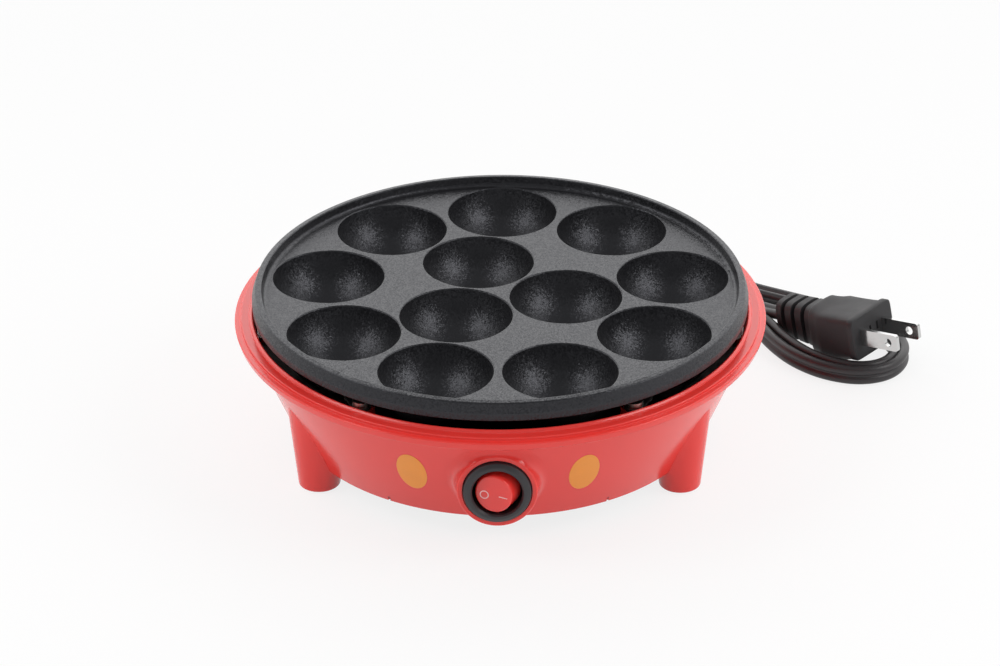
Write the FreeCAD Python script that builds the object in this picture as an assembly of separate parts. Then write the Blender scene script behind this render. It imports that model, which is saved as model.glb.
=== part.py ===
import FreeCAD, Part
import math
import os

# Takoyaki maker: a round cooking plate with twelve cups on a red three-legged body,
# with a rocker switch at the front and a flat twin cord at the back right.
# Millimetres. The origin is on the body's axis at the surface it stands on, +Z is up,
# the switch faces -Y. Azimuths are degrees from +X towards +Y.

Vec = FreeCAD.Vector
UP = Vec(0, 0, 1)

# ---- cooking plate ----------------------------------------------------------
CUP_RADIUS = 20.0          # of the ball that shapes a cup, at the plate's face
CUP_DEPTH = 17.5
CUP_WALL = 2.5
CUP_EDGE_ROUND = 0.5
OUTER_CUPS = 9
INNER_CUPS = 3
OUTER_CUP_GAP = 2.92       # between neighbours in the outer ring
INNER_CUP_GAP = 1.26       # between neighbours in the inner ring
OUTER_RING_TURN = 90.0     # azimuth of the first outer cup
INNER_RING_TURN = 110.0    # azimuth of the first inner cup
PLATE_THICKNESS = 3.0
PLATE_MARGIN = 1.7         # from the outer cups to the foot of the rim
RIM_WIDTH = 4.1
RIM_HEIGHT = 3.6           # of the lip above the plate's face
RIM_FALL = 0.3             # the lip falls this much towards its outside
RIM_SLOPE = 1.25           # the lip's outside slopes out by this much
RIM_SLOPE_FOOT = 0.5       # of the slope's foot below the plate's face
SKIRT_DROP = 3.1           # of the skirt's lower edge below the plate's face
SKIRT_TUCK = 0.1           # its lower edge stands in by this much
PLATE_FACE_HEIGHT = 58.0   # of the plate's face above the ground

# ---- body shell -------------------------------------------------------------
SHELL_WALL = 2.4
BODY_BOTTOM_HEIGHT = 8.8   # of the body's lower edge above the ground
BODY_BOTTOM_RADIUS = 74.3
BODY_BOTTOM_BEVEL = 0.4    # of its outer edge
FLANGE_TOP_DROP = 8.15     # of the flange's face below the plate's face
FLANGE_WIDTH = 2.35        # outside the raised band
FLANGE_THICKNESS = 3.25
FLANGE_TAPER = 0.95        # its edge stands in by this much at its underside
BAND_HEIGHT = 1.05         # of the raised band above the flange's face
BAND_WIDTH = 3.05
LIP_HEIGHT = 1.75          # of the lip's inner edge above the band
LIP_FALL = 1.35            # the lip falls this much towards its outside
LIP_WIDTH = 1.35
LIP_UNDER = 0.2            # of the lip's inside under the plate's edge
WALL_TOP_INSET = 2.55      # of the wall's top inside the band's edge
LEDGE_WIDTH = 5.7
LEDGE_THICKNESS = 2.4
SLIT_SPREAD = 38.0         # of the slits in the body's lower edge from between the legs
SLIT_WIDTH = 0.7
SLIT_HEIGHT = 2.2
SLIT_DEPTH = 1.2

# ---- legs -------------------------------------------------------------------
LEG_COUNT = 3
LEG_TURN = 90.0            # azimuth of the first leg
LEG_RING_INSET = 0.4       # of a leg's axis inside the body's lower edge
LEG_FOOT_RADIUS = 7.4
LEG_TAPER = 0.1            # gain in radius for each millimetre of height
LEG_HEIGHT = 36.0
LEG_WALL = 2.2
FOOT_ROUND = 0.9
PAD_RADIUS = 5.3
PAD_THICKNESS = 1.4
PAD_RECESS = 1.0
PAD_CLEARANCE = 0.1

# ---- switch -----------------------------------------------------------------
SWITCH_DROP = 18.3         # of its axis below the flange's underside
BEZEL_RADIUS = 11.95
BEZEL_THICKNESS = 3.0
BEZEL_CROWN = 0.8          # its face falls this much towards its edge
BEZEL_SEAT = 1.2           # depth of the seat that the bezel lies in
BEZEL_REACH = 0.55         # of the bezel's face in front of the flange, seen from above
BEZEL_TO_FLANGE = 2.7      # from the bezel's face back to the flange's edge
BARREL_RADIUS = 9.9
BARREL_DEPTH = 15.3        # from the bezel's face to the barrel's back
BARREL_WALL = 0.9
BARREL_FLOOR = 2.0
WINDOW_RADIUS = 8.6
SWITCH_CLEARANCE = 0.2
BOSS_RIM = 1.6             # red ring left round the bezel
BOSS_FLARE = 1.9           # gain in radius of the boss towards the body
BOSS_FLARE_DEPTH = 18.0
BOSS_PANEL = 2.4
BOSS_FILLET = 4.0          # round the boss's foot
PIVOT_DEPTH = 4.3          # of the rocker's axis behind the bezel's face
ROCKER_PROUD = 0.3         # of the rocker's face before the bezel, when level
ROCKER_FACE_HALF = (6.45, 6.95)   # half the width and half the height of its face
ROCKER_BACK_RADIUS = 7.8
ROCKER_BACK_DEPTH = 1.6    # of the rocker's back behind its axis
ROCKER_FACE_ROUND = 0.6
ROCKER_TILT = 16.0         # from level to either end of its travel
TRUNNION_RADIUS = 1.1
TRUNNION_CLEARANCE = 0.1
STEM_RADIUS = 1.5
STEM_LENGTH = 6.0
LAMP_RADIUS = 1.6
LAMP_LENGTH = 3.6
LAMP_DROP = 5.2            # of the lamp below the switch's axis
TAB_PITCH = 5.5
TAB_HEIGHT = 4.8
TAB_THICKNESS = 0.8
TAB_LENGTH = 8.0

# ---- heating ----------------------------------------------------------------
SHEATH_RADIUS = 3.25
SHEATH_GAP = 0.3           # between the sheath and the cups beside it
SHEATH_OPENING = 44.0      # degrees left open between the sheath's ends
SHEATH_TURN = -10.0        # azimuth of that opening
SHEATH_BEND = 8.0
SHEATH_END_DROP = 4.0      # of the sheath's ends below their bends
SEAL_RADIUS = 3.4
SEAL_LENGTH = 4.0
PIN_RADIUS = 1.25
PIN_LENGTH = 10.0
PIN_CLEARANCE = 0.05
LUG_SIZE = 5.0             # of the connector on a pin
LUG_HEIGHT = 6.5
SPIDER_THICKNESS = 1.2
SPIDER_ARM_WIDTH = 9.0
SPIDER_ARM_OVERHANG = 1.8  # of an arm beyond the sheath
SPIDER_SEAT = 0.05         # between an arm and the sheath
SPIDER_BOSS_RADIUS = 4.2
SPIDER_BOSS_INSET = 6.1    # between the boss and the sheath's ring
SPIDER_FIRST_ARM = 50.0
THERMOSTAT_CAP_RADIUS = 8.0
THERMOSTAT_CAP_HEIGHT = 3.8
THERMOSTAT_BODY_RADIUS = 7.0
THERMOSTAT_BODY_LENGTH = 9.5
THERMOSTAT_HUB_RADIUS = 4.5
THERMOSTAT_TAB_SPREAD = 5.0
FUSE_RADIUS = 2.0
FUSE_LENGTH = 12.0
SLEEVE_WALL = 0.6
SLEEVE_LENGTH = 20.0
SLEEVE_DROP = 5.0          # of the fuse's axis below the heat shield

# ---- heat shield and plate brackets -----------------------------------------
SHIELD_THICKNESS = 0.6
SHIELD_CUP_GAP = 0.7
SHIELD_HEAD_GAP = 1.4      # below the spider's screw heads
SHIELD_HOLE_GAP = 1.4      # round what passes through it
SHIELD_EDGE_GAP = 0.6
SHIELD_SCREW_GAP = 0.2     # between a screw's head and the wall
SHIELD_SCREW_AZIMUTHS = (70.0, 190.0, 350.0)
BRACKET_THICKNESS = 1.0
BRACKET_WIDTH = 8.0
BRACKET_END_WIDTH = 6.8
BRACKET_SHIFT = 6.5        # degrees from a plate stud to its post
BRACKET_AZIMUTHS = (30.0, 150.0, 230.0, 310.0)
BRACKET_POST_SIDE = (1, -1, 1, -1)
STUD_RADIUS = 4.0
STUD_LENGTH = 4.0
STUD_INSET = 10.6          # of a stud's axis inside the plate's edge
POST_WIDTH = 7.0
POST_INSET = 5.1           # of a post's axis inside the lip's crest
POST_REACH = 3.2           # of a post inwards from its screw

# ---- screws -----------------------------------------------------------------
SCREW_RADIUS = 1.65
SCREW_HEAD_RADIUS = 3.1
SCREW_HEAD_HEIGHT = 2.2
SCREW_CLEARANCE = 0.05
SCREW_BITE = 3.4           # depth that a screw reaches into what it holds to

# ---- base cover -------------------------------------------------------------
COVER_THICKNESS = 2.0
COVER_GAP = 0.3
COVER_RISE = 2.5           # of the cover above the body's lower edge
COVER_SCREW_AZIMUTHS = (20.0, 160.0, 235.0, 305.0)
COVER_BOSS_RADIUS = 4.0
COVER_BOSS_HEIGHT = 16.0
COVER_BOSS_INSET = 5.9     # of a boss's axis inside the cover's edge
COVER_RIB_THICKNESS = 2.0
VENT_COUNT = 12
VENT_RING_RADIUS = 40.0
VENT_LENGTH = 14.0
VENT_WIDTH = 2.2

# ---- cord entry -------------------------------------------------------------
CORE_THICKNESS = 3.7       # of one core of the flat twin cord
CORD_WIDTH = 7.4           # across both cores
ENTRY_AZIMUTH = 62.0
ENTRY_DROP = 19.6          # of its axis below the flange's underside
ENTRY_BOSS_RADIUS = 8.6
ENTRY_BOSS_PROUD = 4.0
BUSHING_LENGTH = 9.0
BUSHING_FLANGE_RADIUS = 7.2
BUSHING_FLANGE = 2.0
BUSHING_NECK_RADIUS = 5.6
BUSHING_TIP_RADIUS = 4.6
BUSHING_BARREL_RADIUS = 5.2
BUSHING_CLEARANCE = 0.1
CLAMP_INSET = 24.0         # of the clamp inwards from the entry boss's face
CLAMP_LENGTH = 8.0
CLAMP_SPAN = 24.0
CLAMP_THICKNESS = 3.0
CLAMP_SCREW_SPREAD = 8.2
CORD_TAIL_INSIDE = 8.0     # of the cord beyond the clamp
WIRE_RADIUS = 1.1
SPLICE_RADIUS = 4.0
SPLICE_LENGTH = 14.0
SPLICE_AZIMUTH = 34.2
SPLICE_INSET = 12.0        # of its near end inside the cover's edge
SPLICE_RISE = 5.7          # of its axis above the cover
SPLICE_SPREAD = 1.9        # of the wires in its mouth
FUSE_REACH = (10.0, 4.8)   # of the fuse's middle from the first pin, in X and Y
# Way points of the inner wires: X, Y and the height above the low wires.
WIRE_RISE = 3.7            # of the low wires above the cover
WIRE_STRAIGHT = 6.0        # straight run out of a terminal
LIVE_WAY = [(6.0, 26.0, 5.0), (-6.0, 14.0, 2.0), (-10.0, -6.0, 0.0), (-9.0, -28.0, 0.0),
            (-3.0, -46.0, 3.0)]
NEUTRAL_WAY = [(23.0, 24.0, 4.5), (31.0, 15.0, 2.0)]
THERMOSTAT_WAY = [(22.0, -8.0, 4.5)]
SWITCHED_WAY = [(-19.0, -9.0, 7.0), (-19.0, -28.0, 6.0), (-12.0, -46.0, 7.0)]
LAMP_WAY = [(38.0, 4.0, -1.5), (27.0, -18.0, -2.0), (15.0, -40.0, 1.0)]

# ---- free cord, hank and plug -----------------------------------------------
# Route points are chosen by hand and kept as they are.
LEAD_FIRST_RUN = 13.7      # straight out of the bushing
LEAD_ROUTE = [(61.0, 104.4, 23.1), (73.0, 106.5, 16.9), (83.9, 101.6, 10.4), (90.9, 91.0, 5.5),
              (95.0, 78.0, 4.0)]
RIGHT_LOOP = [(68.5, 116.5), (78.0, 106.5), (87.5, 96.5), (94.5, 85.5), (99.0, 73.0),
              (103.5, 61.5), (110.5, 50.0), (121.0, 40.8), (133.5, 37.0), (144.5, 41.5),
              (150.0, 54.0), (146.0, 67.0), (135.0, 77.5), (122.0, 86.5), (108.0, 94.0),
              (94.0, 101.5), (82.5, 111.0), (73.5, 121.5)]
LEFT_LOOP = [(61.5, 131.5), (50.0, 139.0), (34.0, 145.5), (17.0, 150.0), (-2.0, 152.5),
             (-20.0, 152.0), (-36.0, 148.0), (-46.0, 139.0), (-45.0, 128.0), (-34.0, 120.5),
             (-16.0, 117.5), (2.0, 118.0), (20.0, 120.5), (38.0, 122.5), (51.0, 122.5),
             (60.0, 120.5)]
TAIL_FIRST_RUN = 4.7       # straight out of the plug's relief
TAIL_ROUTE = [(95.0, 88.5, 4.6), (88.0, 97.5, 4.0)]
HANK_TURNS = 2
HANK_SLACK = 0.3
TIE_PLACE = (66.4, 123.6)
TIE_HEADING = 140.0
TIE_WIDTH = 6.0
TIE_THICKNESS = 0.8
TIE_SPAN = 17.4
CORD_BEND_SHARE = 0.45
PLUG_FACE = (137.8, 48.6, 15.8)   # centre of the face that the blades stand on
PLUG_HEADING = -42.3
PLUG_PITCH = 11.0
PLUG_LENGTH = 22.6
PLUG_WIDTH = 23.0
PLUG_HEIGHT = 15.2
PLUG_GRIP = 0.8            # depth of the grip in each side
PLUG_WAIST = 1.7           # depth of the notch before the shoulder
PLUG_NOSE_LENGTH = 3.2
RELIEF_LENGTH = 20.3
RELIEF_WIDTH = 14.0
RELIEF_END_WIDTH = 11.0
RELIEF_HEIGHT = 11.0
RELIEF_SLOTS = 3
RELIEF_SLOT_WIDTH = 1.6
RELIEF_SLOT_PITCH = 5.3
RELIEF_SLOT_DEPTH = 3.0
BLADE_LENGTH = 17.2
BLADE_WIDTH = 6.35
BLADE_THICKNESS = 1.5
BLADE_SPACING = 12.7
BLADE_HOLE_RADIUS = 1.6
BLADE_HOLE_FROM_TIP = 4.2
BLADE_ROOT = 8.0

# ---- sizes that follow ------------------------------------------------------
ball_radius = (CUP_RADIUS ** 2 + CUP_DEPTH ** 2) / (2 * CUP_DEPTH)
ball_height = PLATE_FACE_HEIGHT - CUP_DEPTH + ball_radius
bowl_radius = ball_radius + CUP_WALL
outer_ring = (CUP_RADIUS + OUTER_CUP_GAP / 2) / math.sin(math.pi / OUTER_CUPS)
inner_ring = (CUP_RADIUS + INNER_CUP_GAP / 2) / math.sin(math.pi / INNER_CUPS)
rim_radius = outer_ring + CUP_RADIUS + PLATE_MARGIN
plate_radius = rim_radius + RIM_WIDTH
plate_underside = PLATE_FACE_HEIGHT - PLATE_THICKNESS
skirt_bottom = PLATE_FACE_HEIGHT - SKIRT_DROP

flange_top = PLATE_FACE_HEIGHT - FLANGE_TOP_DROP
flange_under = flange_top - FLANGE_THICKNESS
lip_inner = plate_radius - LIP_UNDER
lip_outer = lip_inner + LIP_WIDTH
band_top = flange_top + BAND_HEIGHT
lip_top = band_top + LIP_HEIGHT
flange_inner = lip_outer + BAND_WIDTH
flange_radius = flange_inner + FLANGE_WIDTH
wall_top_radius = flange_inner - WALL_TOP_INSET
wall_slope = (wall_top_radius - BODY_BOTTOM_RADIUS) / (flange_under - BODY_BOTTOM_HEIGHT)
wall_across = SHELL_WALL * math.sqrt(1 + wall_slope ** 2)
ledge_radius = wall_top_radius - SHELL_WALL - 0.8 - LEDGE_WIDTH
leg_ring = BODY_BOTTOM_RADIUS - LEG_RING_INSET

bracket_top = plate_underside - STUD_LENGTH
bracket_bottom = bracket_top - BRACKET_THICKNESS
stud_ring = plate_radius - STUD_INSET
post_ring = lip_outer - POST_INSET
ledge_top = bracket_bottom - 5.0

sheath_ring = (outer_ring + inner_ring) / 2
sheath_height = ball_height - math.sqrt(
    (bowl_radius + SHEATH_RADIUS + SHEATH_GAP) ** 2 - ((outer_ring - inner_ring) / 2) ** 2)
spider_top = sheath_height - SHEATH_RADIUS - SPIDER_SEAT
spider_bottom = spider_top - SPIDER_THICKNESS
spider_boss_ring = sheath_ring - SHEATH_RADIUS - SPIDER_BOSS_INSET - 1.0
shield_floor_top = spider_bottom - SCREW_HEAD_HEIGHT - SHIELD_HEAD_GAP
shield_floor_bottom = shield_floor_top - SHIELD_THICKNESS
sheath_end = sheath_height - SHEATH_BEND - SHEATH_END_DROP
seal_end = sheath_end - SEAL_LENGTH
pin_end = sheath_end - PIN_LENGTH
lug_bottom = pin_end - 1.0
lug_top = lug_bottom + LUG_HEIGHT

switch_height = flange_under - SWITCH_DROP
bezel_face = flange_radius - BEZEL_TO_FLANGE - BEZEL_REACH
boss_face = bezel_face - BEZEL_THICKNESS + BEZEL_SEAT
barrel_back = bezel_face - BARREL_DEPTH
pivot_y = -(bezel_face - PIVOT_DEPTH)
boss_rim_radius = BEZEL_RADIUS + SWITCH_CLEARANCE + BOSS_RIM

cover_bottom = BODY_BOTTOM_HEIGHT + COVER_RISE
cover_top = cover_bottom + COVER_THICKNESS
cover_radius = BODY_BOTTOM_RADIUS - wall_across + COVER_RISE * wall_slope - COVER_GAP
cover_boss_ring = cover_radius - COVER_BOSS_INSET

entry_height = flange_under - ENTRY_DROP
entry_face = BODY_BOTTOM_RADIUS + (entry_height - BODY_BOTTOM_HEIGHT) * wall_slope + ENTRY_BOSS_PROUD
clamp_ring = entry_face - CLAMP_INSET
cord_end_ring = clamp_ring - CLAMP_LENGTH / 2 - CORD_TAIL_INSIDE
core_spread = CORD_WIDTH / 2 - CORE_THICKNESS / 2
hank_half_width = HANK_TURNS * CORE_THICKNESS / 2 + HANK_SLACK / 2


# ---- shapes that recur ------------------------------------------------------
def polar(radius, azimuth, z=0.0):
    a = math.radians(azimuth)
    return Vec(radius * math.cos(a), radius * math.sin(a), z)


def turned(shape, azimuth):
    """A shape drawn on +X, turned about the body's axis to an azimuth."""
    copy = shape.copy()
    copy.rotate(Vec(0, 0, 0), UP, azimuth)
    return copy


def bend(before, corner, after, radius):
    """The start, middle and end of the arc that rounds a corner, or None where it is straight."""
    d1 = (corner - before).normalize()
    d2 = (after - corner).normalize()
    turn = d1.getAngle(d2)
    if radius <= 0 or turn < 1e-6:
        return None
    reach = radius * math.tan(turn / 2)
    inward = (d2 - d1).normalize()
    centre = corner + inward * (radius / math.cos(turn / 2))
    return corner - d1 * reach, centre - inward * radius, corner + d2 * reach


def rounded_wire(points, radii, closed):
    """Straight runs joined by tangent arcs, one radius for each point."""
    n = len(points)
    bends = []
    for i, p in enumerate(points):
        end = not closed and i in (0, n - 1)
        bends.append(None if end else bend(points[i - 1], p, points[(i + 1) % n], radii[i]))
    edges = []
    for i in range(n if closed else n - 1):
        j = (i + 1) % n
        start = bends[i][2] if bends[i] else points[i]
        stop = bends[j][0] if bends[j] else points[j]
        if start.distanceToPoint(stop) > 1e-6:
            edges.append(Part.LineSegment(start, stop).toShape())
        if bends[j]:
            edges.append(Part.Arc(*bends[j]).toShape())
    return Part.Wire(edges)


def profile_face(corners):
    """A closed outline in the XZ plane from (radius, height) or (radius, height, rounding)."""
    points = [Vec(c[0], 0, c[1]) for c in corners]
    radii = [c[2] if len(c) > 2 else 0.0 for c in corners]
    return Part.Face(rounded_wire(points, radii, True))


def revolved(corners):
    return profile_face(corners).revolve(Vec(0, 0, 0), UP, 360)


def flat_face(corners, z):
    """A closed outline in a level plane from (x, y) or (x, y, rounding)."""
    points = [Vec(c[0], c[1], z) for c in corners]
    radii = [c[2] if len(c) > 2 else 0.0 for c in corners]
    return Part.Face(rounded_wire(points, radii, True))


def slab(corners, low, high):
    return flat_face(corners, low).extrude(Vec(0, 0, high - low))


def post(radius, low, high, place=None):
    base = place if place is not None else Vec(0, 0, 0)
    return Part.makeCylinder(radius, high - low, Vec(base.x, base.y, low), UP)


def box(x0, x1, y0, y1, z0, z1):
    return Part.makeBox(x1 - x0, y1 - y0, z1 - z0, Vec(x0, y0, z0))


def along_y(corners, z):
    """A turned part on a level axis that points to +Y: corners are (radius, y)."""
    shape = revolved(corners)
    shape.rotate(Vec(0, 0, 0), Vec(1, 0, 0), -90)
    shape.translate(Vec(0, 0, z))
    return shape


def fused(shapes):
    shape = shapes[0].fuse(shapes[1:]) if len(shapes) > 1 else shapes[0]
    return shape.removeSplitter()


def screw(seat, tip, place, head_up):
    """A pan-head screw whose head lies on seat, its shank ending at tip."""
    if head_up:
        head = post(SCREW_HEAD_RADIUS, seat, seat + SCREW_HEAD_HEIGHT, place)
        shank = post(SCREW_RADIUS, tip, seat + 0.5, place)
    else:
        head = post(SCREW_HEAD_RADIUS, seat - SCREW_HEAD_HEIGHT, seat, place)
        shank = post(SCREW_RADIUS, seat - 0.5, tip, place)
    return fused([head, shank])


def screw_hole(low, high, place):
    return post(SCREW_RADIUS + SCREW_CLEARANCE, low, high, place)


def bend_radii(points):
    radii = [0.0]
    for before, corner, after in zip(points, points[1:], points[2:]):
        turn = (corner - before).getAngle(after - corner)
        run = min(before.distanceToPoint(corner), corner.distanceToPoint(after))
        radii.append(CORD_BEND_SHARE * run / math.tan(turn / 2))
    return radii + [0.0]


def tube(points, radius):
    """A round tube along straight runs and arcs as large as the runs allow."""
    radii = bend_radii(points)
    path = rounded_wire(points, radii, False)
    start = (points[1] - points[0]).normalize()
    ring = Part.Wire([Part.Circle(points[0], start, radius).toShape()])
    return path.makePipeShell([ring], True, False), path.Length, radii[1:-1]


# ---- cooking plate ----------------------------------------------------------
def cup_places():
    outer = [polar(outer_ring, OUTER_RING_TURN + i * 360 / OUTER_CUPS) for i in range(OUTER_CUPS)]
    inner = [polar(inner_ring, INNER_RING_TURN + i * 360 / INNER_CUPS) for i in range(INNER_CUPS)]
    return outer + inner


def cup_cutter():
    """The hollow of one cup: a ball whose meeting with the plate's face is rounded."""
    rise = ball_height - PLATE_FACE_HEIGHT
    edge_depth = rise + CUP_EDGE_ROUND
    edge_x = math.sqrt((ball_radius + CUP_EDGE_ROUND) ** 2 - edge_depth ** 2)
    share = ball_radius / (ball_radius + CUP_EDGE_ROUND)
    low = Vec(edge_x * share, 0, ball_height - edge_depth * share)
    centre = Vec(edge_x, 0, PLATE_FACE_HEIGHT - CUP_EDGE_ROUND)
    top = Vec(edge_x, 0, PLATE_FACE_HEIGHT)
    halfway = ((low - centre).normalize() + (top - centre).normalize()).normalize()
    bottom = Vec(0, 0, ball_height - ball_radius)
    angle = math.atan2(low.x, ball_height - low.z) / 2
    side = Vec(ball_radius * math.sin(angle), 0, ball_height - ball_radius * math.cos(angle))
    above = Vec(0, 0, PLATE_FACE_HEIGHT)
    edges = [Part.Arc(bottom, side, low).toShape(),
             Part.Arc(low, centre + halfway * CUP_EDGE_ROUND, top).toShape(),
             Part.LineSegment(top, above).toShape(), Part.LineSegment(above, bottom).toShape()]
    return Part.Face(Part.Wire(edges)).revolve(Vec(0, 0, 0), UP, 360)


def bowl():
    """The underside of one cup, up to just inside the plate."""
    ball = Part.makeSphere(bowl_radius, Vec(0, 0, ball_height))
    top = plate_underside + PLATE_THICKNESS / 2
    return ball.common(post(bowl_radius * 2, 0, top))


def spider_bosses():
    return [polar(spider_boss_ring, SPIDER_FIRST_ARM + i * 120) for i in range(3)]


def cooking_plate():
    lip_top_in = PLATE_FACE_HEIGHT + RIM_HEIGHT
    lip_top_out = lip_top_in - RIM_FALL
    disc = revolved([
        (0, PLATE_FACE_HEIGHT), (rim_radius, PLATE_FACE_HEIGHT, 1.4),
        (rim_radius + 0.6, lip_top_in, 0.5), (plate_radius - RIM_SLOPE, lip_top_out, 0.6),
        (plate_radius, PLATE_FACE_HEIGHT - RIM_SLOPE_FOOT, 1.5),
        (plate_radius - SKIRT_TUCK, skirt_bottom, 0.3),
        (plate_radius - SKIRT_TUCK - 1.6, skirt_bottom, 0.3),
        (rim_radius - 0.6, plate_underside), (0, plate_underside)])
    solids = [disc]
    for place in cup_places():
        cup = bowl()
        cup.translate(place)
        solids.append(cup)
    hub_bottom = spider_top + THERMOSTAT_CAP_HEIGHT
    inside = plate_underside + PLATE_THICKNESS / 2
    solids.append(post(THERMOSTAT_HUB_RADIUS, hub_bottom, inside))
    solids += [post(SPIDER_BOSS_RADIUS, spider_top, inside, p) for p in spider_bosses()]
    solids += [post(STUD_RADIUS, bracket_top, inside, polar(stud_ring, a))
               for a in BRACKET_AZIMUTHS]
    plate = solids[0].fuse(solids[1:])
    hollows = []
    for place in cup_places():
        hollow = cup_cutter()
        hollow.translate(place)
        hollows.append(hollow)
    hollows += [screw_hole(spider_top, spider_top + SCREW_BITE + 0.4, p) for p in spider_bosses()]
    hollows += [screw_hole(bracket_top, bracket_top + SCREW_BITE + 0.4, polar(stud_ring, a))
                for a in BRACKET_AZIMUTHS]
    return plate.cut(hollows).removeSplitter()


# ---- body shell -------------------------------------------------------------
def wall_radius(z):
    """Radius of the wall's outside at a height."""
    return BODY_BOTTOM_RADIUS + (z - BODY_BOTTOM_HEIGHT) * wall_slope


def shell_wall():
    """The flange with its band and lip, the ledge and the conical wall, turned in one piece."""
    ledge_under = ledge_top - LEDGE_THICKNESS
    return revolved([
        (BODY_BOTTOM_RADIUS - BODY_BOTTOM_BEVEL, BODY_BOTTOM_HEIGHT),
        (wall_radius(BODY_BOTTOM_HEIGHT + BODY_BOTTOM_BEVEL), BODY_BOTTOM_HEIGHT + BODY_BOTTOM_BEVEL),
        (wall_top_radius, flange_under, 0.8),
        (flange_radius - FLANGE_TAPER, flange_under, 0.8), (flange_radius, flange_top, 0.5),
        (flange_inner + 0.1, flange_top, 0.2), (flange_inner, band_top, 0.3),
        (lip_outer + 0.1, band_top, 0.1), (lip_outer, lip_top - LIP_FALL, 0.3),
        (lip_inner, lip_top, 0.6), (lip_inner - 0.3, lip_top - 4.0),
        (wall_top_radius - SHELL_WALL - 0.6, flange_under + 0.4),
        (wall_top_radius - SHELL_WALL - 0.8, ledge_top), (ledge_radius, ledge_top),
        (ledge_radius, ledge_under), (wall_radius(ledge_under) - wall_across, ledge_under),
        (BODY_BOTTOM_RADIUS - wall_across, BODY_BOTTOM_HEIGHT)])


def cavity():
    """The room inside the wall, used to trim what joins it from outside."""
    low = BODY_BOTTOM_HEIGHT
    return revolved([(0, low), (wall_radius(low) - wall_across, low),
                     (wall_radius(flange_under) - wall_across, flange_under),
                     (lip_inner, flange_top), (lip_inner, lip_top + FLANGE_WIDTH),
                     (0, lip_top + FLANGE_WIDTH)])


def leg_places():
    return [polar(leg_ring, LEG_TURN + i * 360 / LEG_COUNT) for i in range(LEG_COUNT)]


def leg_solid():
    low = PAD_THICKNESS - PAD_RECESS
    top_radius = LEG_FOOT_RADIUS + LEG_TAPER * LEG_HEIGHT
    return revolved([(0, low), (LEG_FOOT_RADIUS, low, FOOT_ROUND), (top_radius, LEG_HEIGHT),
                     (0, LEG_HEIGHT)])


def leg_hollow():
    floor = PAD_THICKNESS + LEG_WALL
    return revolved([(0, floor), (LEG_FOOT_RADIUS + LEG_TAPER * floor - LEG_WALL, floor, 1.0),
                     (LEG_FOOT_RADIUS + LEG_TAPER * LEG_HEIGHT - LEG_WALL, LEG_HEIGHT),
                     (0, LEG_HEIGHT)])


def switch_boss():
    back = -(boss_face - BOSS_FLARE_DEPTH)
    return along_y([(0, -boss_face), (boss_rim_radius, -boss_face, 0.6),
                    (boss_rim_radius + BOSS_FLARE, back), (0, back)], switch_height)


def switch_boss_hollow():
    """The seat for the bezel, the bore for the barrel and the room behind the panel."""
    seat = boss_face - BEZEL_SEAT
    panel_back = seat - BOSS_PANEL
    bore = BARREL_RADIUS + SWITCH_CLEARANCE
    return along_y([(0, -boss_face - 1), (BEZEL_RADIUS + SWITCH_CLEARANCE, -boss_face - 1),
                    (BEZEL_RADIUS + SWITCH_CLEARANCE, -seat), (bore, -seat), (bore, -panel_back),
                    (boss_rim_radius - SHELL_WALL, -panel_back),
                    (boss_rim_radius - SHELL_WALL, -(boss_face - BOSS_FLARE_DEPTH) + 1),
                    (0, -(boss_face - BOSS_FLARE_DEPTH) + 1)], switch_height)


def entry_frame(shape):
    """Moves a part drawn along +X from the axis to the cord entry."""
    shape.translate(Vec(0, 0, entry_height))
    return turned(shape, ENTRY_AZIMUTH)


def entry_boss(radius, start, stop):
    return entry_frame(Part.makeCylinder(radius, stop - start, Vec(start, 0, 0), Vec(1, 0, 0)))


def boss_crease(shell):
    """The edges where the switch boss meets the wall."""
    found = []
    for edge in shell.Edges:
        around = edge.BoundBox
        curved = edge.Curve.TypeId == "Part::GeomBSplineCurve"
        if curved and around.YMax < 0 and around.XLength > boss_rim_radius:
            if abs(around.Center.x) < boss_rim_radius and around.YMax > pivot_y:
                found.append(edge)
    return found


def bracket_posts():
    """The places of the posts that carry the plate's brackets."""
    return [polar(post_ring, a + side * BRACKET_SHIFT)
            for a, side in zip(BRACKET_AZIMUTHS, BRACKET_POST_SIDE)]


def bracket_post(azimuth):
    half, start = POST_WIDTH / 2, post_ring - POST_REACH
    block = box(start, lip_inner - LIP_WIDTH / 2, -half, half, ledge_top - LEDGE_THICKNESS / 2,
                bracket_bottom)
    root = box(start, lip_inner + LIP_WIDTH / 2, -half, half, flange_under + 1, bracket_bottom)
    return turned(block.fuse(root), azimuth)


def cover_boss(azimuth):
    top = cover_top + COVER_BOSS_HEIGHT
    boss = post(COVER_BOSS_RADIUS, cover_top, top, Vec(cover_boss_ring, 0, 0))
    rib = slab([(cover_boss_ring, -COVER_RIB_THICKNESS / 2),
                (wall_radius(cover_top) - SHELL_WALL / 2, -COVER_RIB_THICKNESS / 2),
                (wall_radius(cover_top) - SHELL_WALL / 2, COVER_RIB_THICKNESS / 2),
                (cover_boss_ring, COVER_RIB_THICKNESS / 2)], cover_top, top)
    reach = box(cover_boss_ring, wall_radius(top) - SHELL_WALL / 2, -COVER_RIB_THICKNESS / 2,
                COVER_RIB_THICKNESS / 2, cover_top + COVER_BOSS_HEIGHT / 2, top)
    inside = revolved([(0, cover_top), (wall_radius(cover_top) - SHELL_WALL / 2, cover_top),
                       (wall_radius(top) - SHELL_WALL / 2, top), (0, top)])
    return turned(boss.fuse([rib, reach.common(inside)]), azimuth)


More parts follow.
